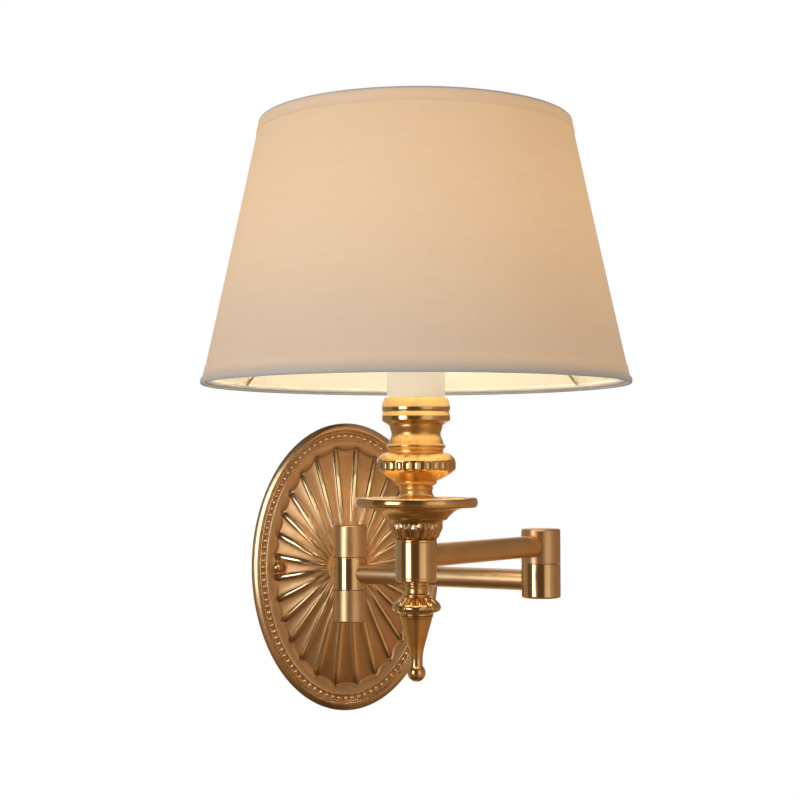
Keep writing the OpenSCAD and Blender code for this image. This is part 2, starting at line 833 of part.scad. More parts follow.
// --- Upper arm and column ---

module upper_arm_tube() {
    color("goldenrod")
    translate(elbow_axis + [0, 0, seg_h])
        difference() {
            arm_tube(upper_dir, elbow_cavity_r, arm_l - rod_r - 2);
            cylinder(h = 2*seg_h, r = elbow_cavity_r + seat_clear, center = true);
        }
}

module upper_arm_lead() {
    color("ivory")
    translate(elbow_axis + [0, 0, seg_h])
        lead(upper_dir, elbow_r, arm_l - sleeve_d/2);
}

module column_sleeve() {
    color("gold")
    on_column(0)
        difference() {
            translate([0, 0, -sleeve_below])
                bored([[0, 0], [sleeve_d/2, 0], [sleeve_d/2, sleeve_h], [0, sleeve_h]], rod_hole_r, sleeve_h);
            along(upper_dir + 180, 0, sleeve_d, arm_r + seat_clear);
        }
}

module column_rod() {
    color("silver")
    difference() {
        on_column(rod_bottom)
            washer(rod_bore/2, rod_r, rod_top - rod_bottom);
        on_column(0)
            along(upper_dir + 180, 0, rod_d, lead_r + loose_clear);
    }
}

module column_ring() {
    r = ring_d/2;
    edge = ring_h*0.4;
    color("gold")
    on_column(ring_bottom)
        bored(concat([[0, 0]], fillet(r - edge, edge, edge, -90, 0), fillet(r - edge, ring_h - edge, edge, 0, 90),
            [[0, ring_h]]), rod_hole_r, ring_h);
}

module finial_bulb() {
    shoulder_z = bulb_knob_h - neck_h - neck_bead_h;
    equator = bulb_knob_h*0.27;
    foot = [spike_rim_d/2 + 0.2, bulb_knob_h*0.09];
    shoulder_r = neck_bead_d/2 + 0.5;
    neck = neck_d/2;
    color("gold")
    on_column(knob_bottom)
        difference() {
            turned(concat([[0, 0], [spike_rim_d/2, 0], foot],
                out_rise(foot, [bulb_knob_d/2, equator]),
                [for (i = [1:10]) [bulb_knob_d/2 - (bulb_knob_d/2 - shoulder_r)*pow(i/10, 1.6),
                    equator + (shoulder_z - equator)*i/10]],
                [[neck_bead_d/2 - 0.5, shoulder_z], [neck_bead_d/2, shoulder_z + neck_bead_h*0.3],
                    [neck_bead_d/2, shoulder_z + neck_bead_h*0.7], [neck_bead_d/2 - 0.5, shoulder_z + neck_bead_h]],
                [[neck, shoulder_z + neck_bead_h + 0.6], [neck - 0.3, bulb_knob_h - neck_h*0.4],
                    [neck, bulb_knob_h], [0, bulb_knob_h]]));
            translate([0, 0, 5 - loose_clear])
                cylinder(h = bulb_knob_h, r = rod_hole_r);
            translate([0, 0, -over])
                cylinder(h = 4, r = 2.5 + seat_clear);
        }
}

// Share of the spike's widening reached at a share of its length: straight, then a cove, then a cone
function widening(x) = x < 0.1 ? 0 : x < 0.4 ? pow(x - 0.1, 2)*2.13 : 1.28*(x - 0.25) + 0.03*pow(max(0, x - 0.9)*10, 2);

module finial_spike() {
    rim = spike_rim_d/2;
    neck = spike_tip_d/2;
    ball_z = -spike_l - sqrt(tip_r*tip_r - neck*neck);
    color("gold")
    on_column(knob_bottom) {
        turned(concat([[0, ball_z - tip_r]], fillet(0, ball_z, tip_r, -90, acos(neck/tip_r), 14),
            [for (i = [0:14]) [neck + (rim - neck)*widening(i/14), -spike_l*(1 - i/14)]], [[0, 0]]));
        cylinder(h = 3.5, r = 2.5);
    }
}

module leaf_cup() {
    foot = leaf_foot_d/2;
    color("darkgoldenrod")
    on_column(sleeve_top)
        bored(concat([[0, 0]], [for (i = [0:8]) [foot + (leaf_top_d/2 - foot)*pow(i/8, 1.15), leaf_h*i/8]],
            [[0, leaf_h]]), rod_hole_r, leaf_h);
}

module drip_dish() {
    r = dish_d/2;
    start = leaf_top_d/2;
    under = r - dish_edge_r - 1;
    top = dish_h;
    well = [vase_foot_d/2 + 1, top];
    color("gold")
    on_column(dish_bottom)
        bored(concat([[0, 0]], [for (i = [0:12]) [start + (under - start)*i/12, dish_flare_h*(1 - pow(1 - i/12, 3))]],
            fillet(r - dish_edge_r, dish_flare_h + dish_edge_r, dish_edge_r, -90, 0, 5),
            fillet(r - dish_edge_r, top - dish_edge_r, dish_edge_r, 0, 90, 5),
            [[r - dish_edge_r - 2.4, top - dish_hollow*0.7], [r*0.7, top - dish_hollow], [well[0] + 2, top - dish_hollow],
                well, [0, top]]),
            rod_hole_r, dish_h);
}

module fluted_vase() {
    foot = [vase_foot_d/2, 0];
    neck = [vase_neck_d/2, vase_h*0.12];
    ledge = [vase_ledge_d/2, vase_h*0.37];
    low = [vase_d/2 - 0.4, vase_h*0.59];
    high = [vase_d/2, vase_h*0.73];
    top = [vase_top_d/2, vase_h*0.95];
    hollow_floor = vase_h*0.45;
    color("gold")
    on_column(vase_bottom)
    difference() {
        bored(concat([[0, 0], foot], [for (i = [1:6]) [neck[0] + (foot[0] - neck[0])*(1 - sin(15*i)),
                neck[1]*(1 - cos(15*i))]],
            [[neck[0], vase_h*0.2]], s_bend([neck[0], vase_h*0.2], [ledge[0] - 1.3, ledge[1] - 1.4], 5), [ledge],
            [for (i = [1:10]) [ledge[0] + (low[0] - ledge[0])*i/10, ledge[1] + (low[1] - ledge[1])*pow(i/10, 2.2)]],
            [[vase_d/2, low[1] + 0.4], high], rise_out(high, [top[0] + 0.5, top[1]], 8), [top, [top[0], vase_h], [0, vase_h]]),
            rod_hole_r, vase_h);
        translate([0, 0, hollow_floor])
            cylinder(h = vase_h, r = vase_top_d/2 - vase_wall);
    }
}

module column_waist() {
    ridge = [ridge_d/2, waist_h*0.18];
    waist = [waist_d/2, waist_h*0.66];
    top = [cup_foot_d/2, waist_h];
    color("gold")
    on_column(waist_bottom)
        bored(concat([[0, 0], [vase_top_d/2, 0], ridge], s_bend(ridge, waist), s_bend(waist, top, 5), [[0, waist_h]]),
            rod_hole_r, waist_h);
}

module candle_cup() {
    foot = [cup_foot_d/2, 0];
    r = cup_d/2;
    upper = r - 0.5;
    recess_r = candle_r + seat_clear;
    color("gold")
    on_column(cup_bottom)
        difference() {
            turned([[0, 0], foot, [r - 2.7, cup_h*0.12], [r - 0.6, cup_h*0.21], [r, cup_h*0.24], [r, cup_h*0.41],
                [r - 1.2, cup_h*0.45], [r - 1, cup_h*0.56], [upper, cup_h*0.61], [upper, cup_h*0.79],
                [recess_r + 1, cup_h], [0, cup_h]]);
            translate([0, 0, -over])
                cylinder(h = cup_h, r = rod_hole_r);
            translate([0, 0, cup_floor])
                cylinder(h = cup_h, r = recess_r);
        }
}

module cup_nut() {
    color("silver")
    on_column(candle_bottom)
        hex_nut(nut_af, nut_t, rod_hole_r);
}

// --- Candle, lamp holder and bulb ---

module candle_tube() {
    color("ivory")
    on_column(candle_bottom)
        washer(candle_bore_r, candle_r, candle_l);
}

module holder_cap() {
    color("whitesmoke")
    on_column(holder_cap_bottom)
        difference() {
            turned(concat([[0, 0], [rod_r + 4, 0]], out_rise([rod_r + 4, 0], [holder_r, holder_cap_h*0.5], 5),
                [[holder_r, holder_cap_h], [0, holder_cap_h]]));
            translate([0, 0, -over])
                cylinder(h = holder_cap_h + 2*over, r = rod_hole_r);
        }
}

shell_outer_r = shell_r + 0.4;

module lamp_holder() {
    base_t = 3;
    height = candle_top - holder_bottom;
    color("whitesmoke")
    on_column(holder_bottom)
        difference() {
            turned([[0, 0], [holder_r, 0], [holder_r, height], [holder_collar_r, height],
                [holder_collar_r, height + holder_collar_h], [0, height + holder_collar_h]]);
            translate([0, 0, base_t])
                cylinder(h = height + holder_collar_h, r = shell_outer_r + seat_clear);
            translate([0, 0, -over])
                cylinder(h = base_t + 2*over, r = rod_bore/2);
        }
}

module screw_shell() {
    height = bulb_cap_l - 2;
    color("gold")
    on_column(holder_top - height)
        washer(shell_r, shell_outer_r, height);
}

module centre_contact() {
    foot = holder_bottom + 3;
    color("gold")
    on_column(foot) {
        cylinder(h = 1, r = shell_outer_r - 1);
        cylinder(h = bulb_cap_bottom - 0.3 - foot, r = 3);
    }
}

module bulb_cap() {
    r = bulb_cap_d/2;
    color("silver")
    on_column(bulb_cap_bottom)
        turned([[0, 0], [4.5, 0], [5.5, 1.5], [r - 1.5, 4.5], [r, 6], [r, bulb_cap_l], [r - bulb_wall, bulb_cap_l],
            [r - bulb_wall, 6.5], [r - 3, 6], [0, 6]]);
}

module bulb_glass() {
    r = bulb_d/2;
    foot = bulb_cap_d/2;
    centre = bulb_h - r;
    join = 40;
    neck = [[foot, 0], [foot, 3]];
    inner = r - bulb_wall;
    inner_foot = foot - bulb_wall;
    throat = centre - r*sin(join);
    color("white")
    on_column(bulb_cap_top)
        turned(concat(neck, s_bend([foot, 3], [r*cos(join), throat], 6), fillet(0, centre, r, -join, 90, 16),
            fillet(0, centre, inner, 90, -join, 16), [for (i = [5:-1:1]) let(t = i/6)
                [inner_foot + (inner*cos(join) - inner_foot)*t*t*(3 - 2*t), 3 + (throat - 3)*t]],
            [[inner_foot, 3], [inner_foot, 0]]));
}

// --- Shade ---

module shade_ring_nut() {
    color("gold")
    on_column(candle_top + carrier_t)
        washer(holder_collar_r + seat_clear, ring_nut_d/2, ring_nut_h);
}

// Torus with its middle at a height above the shade's bottom edge
module shade_wire(z) {
    on_shade(z)
        rotate_extrude()
            translate([shade_r(z) - wire_inset, 0])
                circle(r = wire_r, $fn = 24);
}

module shade_bottom_wire() {
    color("goldenrod")
    shade_wire(bottom_wire_z);
}

// Middle washer and three arms that run out level and then slope down to the bottom wire
module shade_carrier() {
    arm_wire_r = arm_wire_d/2;
    rim = shade_r(bottom_wire_z) - wire_inset;
    bend = rim - (carrier_z - bottom_wire_z)/tan(arm_slope);
    slope_l = norm([rim - bend, carrier_z - bottom_wire_z]) - wire_r;
    inner_end = ring_nut_d/2 + 0.5;
    color("goldenrod") {
        on_shade(carrier_z)
            translate([0, 0, -carrier_t/2])
                washer(holder_collar_r + loose_clear, carrier_d/2, carrier_t);
        for (turn = [-90, 30, 150])
            on_shade(carrier_z)
                rotate([0, 0, turn - carrier_turn]) {
                    translate([inner_end, 0, 0])
                        rotate([0, 90, 0])
                            cylinder(h = bend - inner_end, r = arm_wire_r);
                    translate([bend, 0, 0])
                        sphere(r = arm_wire_r, $fn = 24);
                    translate([bend, 0, 0])
                        rotate([0, 90 + arm_slope, 0])
                            cylinder(h = slope_l, r = arm_wire_r);
                }
    }
}

module shade_top_wire() {
    color("goldenrod")
    shade_wire(top_wire_z);
}

// Conical skin between two distances inside the shade's outer face
module skin(out, in) {
    on_shade(0)
        turned([[shade_r(0) - out, 0], [shade_r(shade_h) - out, shade_h], [shade_r(shade_h) - in, shade_h],
            [shade_r(0) - in, 0]]);
}

module shade_lining() {
    color("linen")
    skin(hem_t + skin_t - seat_clear - lining_t, hem_t + skin_t - seat_clear);
}

module shade_fabric() {
    color("bisque")
    skin(hem_t + seat_clear, hem_t + seat_clear + fabric_t);
}

// Hem folded over an edge: the outside band with its rolled edge, the thin edge and a short turn-in
module hem(edge, up, roll) {
    turn_in = hem_h*0.4;
    outer = edge + up*hem_h;
    inner = edge + up*turn_in;
    lip = edge - up*hem_t;
    inside = hem_t + skin_t;
    on_shade(0)
        turned(concat([for (i = [0:6]) let(z = lip + up*(hem_roll_h + hem_t)*i/6) [shade_r(z) + roll*sin(30*i), z]],
            [[shade_r(outer), outer], [shade_r(outer) - hem_t, outer],
            [shade_r(edge) - hem_t, edge], [shade_r(edge) - inside, edge], [shade_r(inner) - inside, inner],
            [shade_r(inner) - inside - hem_turn_t, inner], [shade_r(lip) - inside - hem_turn_t, lip]]));
}

module shade_bottom_hem() {
    color("wheat")
    hem(0, 1, hem_roll);
}

module shade_top_hem() {
    color("wheat")
    hem(shade_h, -1, hem_roll/2);
}

wall_bracket();
bracket_studs();
ball_nuts();
terminal_block();
earth_screw();
backplate();
wall_yoke();
stem_washer();
stem_nut();
wall_lead();
wall_pivot_tube();
wall_pivot_nuts();
wall_pivot_caps();
wall_hub();
wall_pivot_washers();
lower_arm_tube();
lower_arm_lead();
elbow_lower_hub();
elbow_bottom_cap();
elbow_washer();
elbow_upper_hub();
elbow_pivot_tube();
elbow_nuts();
elbow_wave_washer();
elbow_top_cap();
upper_arm_tube();
upper_arm_lead();
column_sleeve();
column_rod();
column_ring();
finial_bulb();
finial_spike();
leaf_cup();
drip_dish();
fluted_vase();
column_waist();
candle_cup();
cup_nut();
candle_tube();
holder_cap();
lamp_holder();
screw_shell();
centre_contact();
bulb_cap();
bulb_glass();
shade_ring_nut();
shade_carrier();
shade_bottom_wire();
shade_top_wire();
shade_lining();
shade_fabric();
shade_bottom_hem();
shade_top_hem();
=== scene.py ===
import json
import math

import bpy
import numpy as np
from mathutils import Matrix, Vector

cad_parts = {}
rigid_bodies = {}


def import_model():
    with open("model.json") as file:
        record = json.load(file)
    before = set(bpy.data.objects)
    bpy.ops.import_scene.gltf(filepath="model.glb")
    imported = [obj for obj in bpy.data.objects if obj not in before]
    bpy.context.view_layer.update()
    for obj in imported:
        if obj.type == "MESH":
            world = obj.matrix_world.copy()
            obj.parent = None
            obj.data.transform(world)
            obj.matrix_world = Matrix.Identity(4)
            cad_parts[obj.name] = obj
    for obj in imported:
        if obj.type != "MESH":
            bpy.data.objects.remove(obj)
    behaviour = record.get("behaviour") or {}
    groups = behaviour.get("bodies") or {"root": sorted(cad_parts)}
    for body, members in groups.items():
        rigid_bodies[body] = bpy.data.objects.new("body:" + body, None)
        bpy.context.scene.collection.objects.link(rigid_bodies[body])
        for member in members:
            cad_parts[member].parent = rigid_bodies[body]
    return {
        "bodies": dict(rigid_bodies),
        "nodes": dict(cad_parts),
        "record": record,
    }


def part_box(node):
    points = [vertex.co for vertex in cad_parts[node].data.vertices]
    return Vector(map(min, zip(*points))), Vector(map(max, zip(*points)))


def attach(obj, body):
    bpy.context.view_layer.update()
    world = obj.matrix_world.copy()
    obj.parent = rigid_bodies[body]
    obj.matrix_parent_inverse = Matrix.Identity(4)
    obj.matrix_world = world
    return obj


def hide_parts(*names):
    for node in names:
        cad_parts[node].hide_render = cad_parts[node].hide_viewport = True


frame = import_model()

NODES = frame["nodes"]
ours = set(NODES.values()) | set(frame["bodies"].values())
for thing in list(bpy.data.objects):
    if thing not in ours:
        bpy.data.objects.remove(thing)
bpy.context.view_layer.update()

MM = 0.001
FINE = 2
scene = bpy.context.scene
# The column's and the shade's upright axis
SHADE_LOW, SHADE_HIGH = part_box("shade_fabric")
AXIS = Vector(((SHADE_LOW.x + SHADE_HIGH.x) / 2, (SHADE_LOW.y + SHADE_HIGH.y) / 2, 0))
# The shade's radius at its edges and, for the run of its threads, in the middle
EDGE_R, TOP_R, MIDDLE_R = 0.125, 0.092, 0.11
# How far the tape's glow reaches below and above its piece's origin
TAPE_UNDER, TAPE_OVER = 0.0005, 0.0165


# --- Mesh helpers ---

def make(name, verts, faces, material, origin=(0, 0, 0), sharp=40):
    """A smooth-shaded mesh object from points in metres, with its origin at a place of its own."""
    verts = np.asarray(verts, float) - np.asarray(origin, float)
    mesh = bpy.data.meshes.new(name)
    mesh.from_pydata([tuple(v) for v in verts], [], [tuple(int(i) for i in f) for f in faces])
    mesh.validate()
    mesh.polygons.foreach_set("use_smooth", [True] * len(mesh.polygons))
    mesh.set_sharp_from_angle(angle=math.radians(sharp))
    obj = bpy.data.objects.new(name, mesh)
    obj.location = origin
    scene.collection.objects.link(obj)
    if material:
        mesh.materials.append(material)
    return obj


def soften(points, size=0.35, steps=4):
    """Rounds a profile's corners. Points are (r, z) or (r, z, corner size), in mm."""
    out = []
    for i, p in enumerate(points):
        cut = p[2] if len(p) > 2 else size
        here = np.array(p[:2], float)
        if i in (0, len(points) - 1) or cut == 0:
            out.append(here)
            continue
        before = np.array(points[i - 1][:2], float) - here
        after = np.array(points[i + 1][:2], float) - here
        a, b = np.linalg.norm(before), np.linalg.norm(after)
        if a < 1e-6 or b < 1e-6:
            continue
        turn = math.acos(max(-1, min(1, -before.dot(after) / a / b)))
        if turn < math.radians(12):
            out.append(here)
            continue
        start = here + before / a * min(cut, a * 0.45)
        end = here + after / b * min(cut, b * 0.45)
        for k in range(steps + 1):
            t = k / steps
            out.append((1 - t) ** 2 * start + 2 * t * (1 - t) * here + t * t * end)
    return out


def rise_out(p, q, n=10):
    """Quarter oval that leaves p upwards and reaches q sideways."""
    return [(q[0] + (p[0] - q[0]) * math.cos(math.pi / 2 * i / n), p[1] + (q[1] - p[1]) * math.sin(math.pi / 2 * i / n))
            for i in range(n + 1)]


def out_rise(p, q, n=10):
    """Quarter oval that leaves p sideways and reaches q upwards."""
    return [(p[0] + (q[0] - p[0]) * math.sin(math.pi / 2 * i / n), q[1] + (p[1] - q[1]) * math.cos(math.pi / 2 * i / n))
            for i in range(n + 1)]


def s_bend(p, q, n=10):
    """Smooth S from p to q, upright at both ends."""
    return [(p[0] + (q[0] - p[0]) * t * t * (3 - 2 * t), p[1] + (q[1] - p[1]) * t) for t in
            (i / n for i in range(n + 1))]


def arc(x, y, r, a, b, n=10):
    return [(x + r * math.cos(math.radians(a + (b - a) * i / n)), y + r * math.sin(math.radians(a + (b - a) * i / n)))
            for i in range(n + 1)]


def dense(points, pitch):
    """Adds points along a profile so that none lie further apart than the pitch."""
    out = [np.array(points[0], float)]
    for p in points[1:]:
        p = np.array(p, float)
        gap = np.linalg.norm(p - out[-1])
        n = max(1, math.ceil(gap / pitch))
        start = out[-1]
        out += [start + (p - start) * k / n for k in range(1, n + 1)]
    return out


def turned(name, node, profile, slot, bore=None, steps=96, relief=None, pitch=None, sharp=40, satin_and_lamp_tint=None):
    """A turned piece that takes the place of a CAD node, its profile scaled to the node's own box.
    The profile runs up the outside in mm. bore closes it with a hole through; otherwise it ends on the axis.
    relief(share of a turn, r, z) gives how far the surface is cut in, in mm, and the last function of z how satin it
    is, which also sets how much painted lamplight tint the brass takes there."""
    lo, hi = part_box(node)
    centre = ((lo.x + hi.x) / 2, (lo.y + hi.y) / 2)
    pts = [np.array(p[:2], float) for p in profile]
    if pitch:
        pts = dense(pts, pitch)
    pts = np.array(pts)
    scale_r = (hi.x - lo.x) / 2 / (pts[:, 0].max() * MM)
    z0, z1 = pts[:, 1].min(), pts[:, 1].max()
    count = steps * FINE
    turns = np.arange(count) / count
    if bore:
        inside = np.array([[bore, pts[-1, 1]], [bore, pts[0, 1]]])
        pts = np.vstack([pts, inside])
    along = np.gradient(pts, axis=0)
    length = np.maximum(np.linalg.norm(along, axis=1), 1e-9)
    out_r, out_z = along[:, 1] / length, -along[:, 0] / length
    cut = np.zeros((len(pts), count))
    if relief:
        for j, (r, z) in enumerate(pts):
            if not bore or j < len(pts) - 2:
                cut[j] = [relief(t, r, z) for t in turns]
    r = pts[:, 0:1] - cut * out_r[:, None]
    z = pts[:, 1:2] - cut * out_z[:, None]
    r = np.maximum(r, 0) * scale_r * MM
    z = lo.z + (z - z0) / (z1 - z0) * (hi.z - lo.z)
    angle = turns * 2 * math.pi
    verts = np.stack([centre[0] + r * np.cos(angle), centre[1] + r * np.sin(angle), z], axis=2).reshape(-1, 3)
    rows = len(pts)
    faces = []
    for j in range(rows if bore else rows - 1):
        a, b = j * count, ((j + 1) % rows) * count
        for k in range(count):
            n = (k + 1) % count
            faces.append((a + k, a + n, b + n, b + k))
    obj = make(name, verts, faces, MATERIALS[slot], (centre[0], centre[1], lo.z), sharp)
    # The satin share, which also sets the painted lamplight tint, goes to the material as a point attribute
    if satin_and_lamp_tint:
        layer = obj.data.attributes.new("satin_and_lamp_tint", "FLOAT", "POINT")
        layer.data.foreach_set("value", np.repeat([float(satin_and_lamp_tint(z)) for z in pts[:, 1]], count))
    weld(obj)
    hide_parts(node)
    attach(obj, body_of(node))
    return obj


def weld(obj):
    import bmesh
    b = bmesh.new()
    b.from_mesh(obj.data)
    bmesh.ops.remove_doubles(b, verts=b.verts, dist=1e-7)
    b.to_mesh(obj.data)
    b.free()


def body_of(node):
    for name, members in frame["record"]["behaviour"]["bodies"].items():
        if node in members:
            return name


# --- Materials ---

# The Mix node's sockets share their names, so they go by number
NUMBER_A, NUMBER_B, COLOUR_A, COLOUR_B, MIXED = 2, 3, 6, 7, 2


class Tree:
    """Short names for building a node tree."""

    def __init__(self, tree):
        self.tree = tree
        tree.nodes.clear()

    def add(self, kind, **settings):
        node = self.tree.nodes.new(kind)
        for key, value in settings.items():
            setattr(node, key, value)
        return node

    def link(self, a, out, b, into):
        self.tree.links.new(a.outputs[out], b.inputs[into])

    def put(self, node, **values):
        for key, value in values.items():
            node.inputs[key.replace("_", " ")].default_value = value

    def ramp(self, source, out, stops, mode="LINEAR"):
        node = self.add("ShaderNodeValToRGB")
        node.color_ramp.interpolation = mode
        while len(node.color_ramp.elements) < len(stops):
            node.color_ramp.elements.new(0.5)
        for element, (at, colour) in zip(node.color_ramp.elements, stops):
            element.position = at
            element.color = colour if len(colour) == 4 else (*colour, 1)
        self.link(source, out, node, "Fac")
        return node

    def spread(self, source, out, a, b, start=0.3, end=0.7):
        node = self.add("ShaderNodeMapRange")
        self.put(node, From_Min=start, From_Max=end, To_Min=a, To_Max=b)
        self.link(source, out, node, "Value")
        return node

    def calc(self, operation, first, out_1, second, out_2=None):
        """Arithmetic, in its Value: of two outputs, or of one output and the number given as second."""
        node = self.add("ShaderNodeMath", operation=operation)
        self.link(first, out_1, node, 0)
        if out_2 is None:
            node.inputs[1].default_value = second
        else:
            self.link(second, out_2, node, 1)
        return node

    def mix_colours(self, factor, out, a, out_a, b, out_b, blend="MIX"):
        """Mix of two colours, in its output MIXED. factor may be a number, with out None."""
        node = self.add("ShaderNodeMix", data_type="RGBA", blend_type=blend)
        if out is None:
            node.inputs["Factor"].default_value = factor
        else:
            self.link(factor, out, node, "Factor")
        self.link(a, out_a, node, COLOUR_A)
        self.link(b, out_b, node, COLOUR_B)
        return node

    def mix_numbers(self, factor, out, a, out_a, b, out_b):
        """Mix of two numbers, in its first output."""
        node = self.add("ShaderNodeMix", data_type="FLOAT")
        self.link(factor, out, node, "Factor")
        self.link(a, out_a, node, NUMBER_A)
        self.link(b, out_b, node, NUMBER_B)
        return node


class Nodes(Tree):
    """One material's nodes, round a Principled shader."""

    def __init__(self, name):
        self.material = bpy.data.materials.new(name)
        self.material.use_nodes = True
        super().__init__(self.material.node_tree)
        self.output = self.add("ShaderNodeOutputMaterial")
        self.surface = self.add("ShaderNodeBsdfPrincipled")
        self.link(self.surface, "BSDF", self.output, "Surface")

    def where(self):
        return self.add("ShaderNodeTexCoord")

    def noise(self, scale, detail=3, stretch=None):
        node = self.add("ShaderNodeTexNoise")
        self.put(node, Scale=scale, Detail=detail, Roughness=0.55)
        place = self.where()
        if stretch:
            mapping = self.add("ShaderNodeMapping")
            self.put(mapping, Scale=stretch)
            self.link(place, "Object", mapping, "Vector")
            self.link(mapping, "Vector", node, "Vector")
        else:
            self.link(place, "Object", node, "Vector")
        return node

    def height(self):
        """Place in the object's own space, mostly for its output called Z."""
        split = self.add("ShaderNodeSeparateXYZ")
        self.link(self.where(), "Object", split, "Vector")
        return split

    def bump(self, source, out, strength, distance, normal=None):
        node = self.add("ShaderNodeBump")
        self.put(node, Strength=strength, Distance=distance)
        self.link(source, out, node, "Height")
        if normal:
            self.link(normal, "Normal", node, "Normal")
        return node

    def bevel(self, radius):
        node = self.add("ShaderNodeBevel", samples=6)
        self.put(node, Radius=radius)
        return node


def brass(name, light, dark, rough, cloud=70, grain=900, grain_depth=0.00002, grain_strength=0.2, stretch=None,
          bevel=0.0004, satin=None, deep=None):
    """Brass or another metal: two tones in soft clouds, uneven polish and a fine grain. satin and deep go together:
    satin gives the roughness where a piece says that it is satin, and deep is painted lamplight, a warmer, darker brass
    there."""
    n = Nodes(name)
    n.put(n.surface, Metallic=1.0)
    clouds = n.noise(cloud, 4)
    tint = n.ramp(clouds, "Fac", [(0.36, dark), (0.62, light)])
    polish = n.noise(cloud * 2.3, 4)
    wear = n.spread(polish, "Fac", rough[0], rough[1])
    if deep:
        satin_and_lamp_tint = n.add("ShaderNodeAttribute", attribute_name="satin_and_lamp_tint")
        # Painted lamplight: where a piece is satin its brass takes a warmer, darker tint that stands for the bulb's
        # orange light
        painted_lamp_gold = n.ramp(clouds, "Fac", [(0.36, [part * 0.93 for part in deep]), (0.62, deep)])
        n.link(n.mix_colours(satin_and_lamp_tint, "Fac", tint, "Color", painted_lamp_gold, "Color"), MIXED, n.surface, "Base Color")
        wear_dull = n.spread(polish, "Fac", satin[0], satin[1])
        n.link(n.mix_numbers(satin_and_lamp_tint, "Fac", wear, "Result", wear_dull, "Result"), 0, n.surface, "Roughness")
    else:
        n.link(tint, "Color", n.surface, "Base Color")
        n.link(wear, "Result", n.surface, "Roughness")
    fine = n.noise(grain, 2, stretch)
    n.link(n.bump(fine, "Fac", grain_strength, grain_depth, n.bevel(bevel) if bevel else None), "Normal", n.surface,
           "Normal")
    return n.material


def plastic(name, light, dark, rough, cloud=90, grain=700, grain_strength=0.12, subsurface=0.0, bevel=0.0003):
    """Moulded plastic, fibre or rubber: slight mottling, and a fine moulded skin."""
    n = Nodes(name)
    clouds = n.noise(cloud, 3)
    n.link(n.ramp(clouds, "Fac", [(0.3, dark), (0.7, light)]), "Color", n.surface, "Base Color")
    n.link(n.spread(n.noise(cloud * 1.7, 3), "Fac", rough[0], rough[1]), "Result", n.surface, "Roughness")
    fine = n.noise(grain, 2)
    n.link(n.bump(fine, "Fac", grain_strength, 0.00003, n.bevel(bevel) if bevel else None), "Normal", n.surface,
           "Normal")
    if subsurface:
        n.put(n.surface, Subsurface_Weight=subsurface, Subsurface_Radius=(0.004, 0.003, 0.002))
    return n.material


def plate_brass():
    """The wall plate: polished where its points say so, matt and grained elsewhere, with a paler polished brass as a
    painted highlight and painted shade darkening the hollows.
    """
    n = Nodes("brass_plate")
    n.put(n.surface, Metallic=1.0)
    polish = n.add("ShaderNodeAttribute", attribute_name="polish")
    hollow = n.add("ShaderNodeAttribute", attribute_name="hollow")
    clouds = n.noise(55, 4)
    matt = n.ramp(clouds, "Fac", [(0.35, (0.75, 0.445, 0.205)), (0.65, (0.83, 0.51, 0.245))])
    # Painted highlight: the polished ridges, beads and rim get a paler brass so that their highlights show whiter
    painted_highlight_tint = n.ramp(clouds, "Fac", [(0.35, (0.90, 0.66, 0.38)), (0.65, (0.95, 0.73, 0.45))])
    tint = n.mix_colours(polish, "Fac", matt, "Color", painted_highlight_tint, "Color")
    # Painted shade: the points' hollow share darkens the brass in grooves, flute floors, ridge ends and round the beads
    shade = n.add("ShaderNodeMix", data_type="RGBA", blend_type="MULTIPLY")
    n.link(hollow, "Fac", shade, "Factor")
    n.link(tint, MIXED, shade, COLOUR_A)
    shade.inputs[COLOUR_B].default_value = (0.45, 0.34, 0.26, 1)
    n.link(shade, MIXED, n.surface, "Base Color")
    patches = n.noise(160, 4)
    wear = n.spread(patches, "Fac", 0.40, 0.50)
    shine = n.spread(patches, "Fac", 0.08, 0.13)
    n.link(n.mix_numbers(polish, "Fac", wear, "Result", shine, "Result"), 0, n.surface, "Roughness")
    grain = n.noise(900, 3)
    depth = n.add("ShaderNodeMath", operation="SUBTRACT", use_clamp=True)
    depth.inputs[0].default_value = 1.0
    n.link(polish, "Fac", depth, 1)
    rise = n.calc("MULTIPLY", grain, "Fac", depth, "Value")
    n.link(n.bump(rise, "Value", 0.14, 0.0001), "Normal", n.surface, "Normal")
    return n.material


def glow(n, stops_up, low_z, high_z):
    """Emission whose colour changes with height in object space."""
    height = n.spread(n.height(), "Z", 0, 1, low_z, high_z)
    n.link(n.ramp(height, "Result", stops_up, "B_SPLINE"), "Color", n.surface, "Emission Color")


def around(n, radius):
    """Metres round and up the shade, in the space of a piece whose origin is on the shade's axis."""
    parts = n.height()
    turn = n.calc("ARCTAN2", parts, "Y", parts, "X")
    flat = n.add("ShaderNodeCombineXYZ")
    n.link(n.calc("MULTIPLY", turn, "Value", radius), "Value", flat, "X")
    n.link(parts, "Z", flat, "Y")
    return flat


def cloth_noise(n, flat, scale, stretch, detail=2):
    mapping = n.add("ShaderNodeMapping")
    n.put(mapping, Scale=stretch)
    n.link(flat, "Vector", mapping, "Vector")
    node = n.add("ShaderNodeTexNoise")
    n.put(node, Scale=scale, Detail=detail)
    n.link(mapping, "Vector", node, "Vector")
    return node


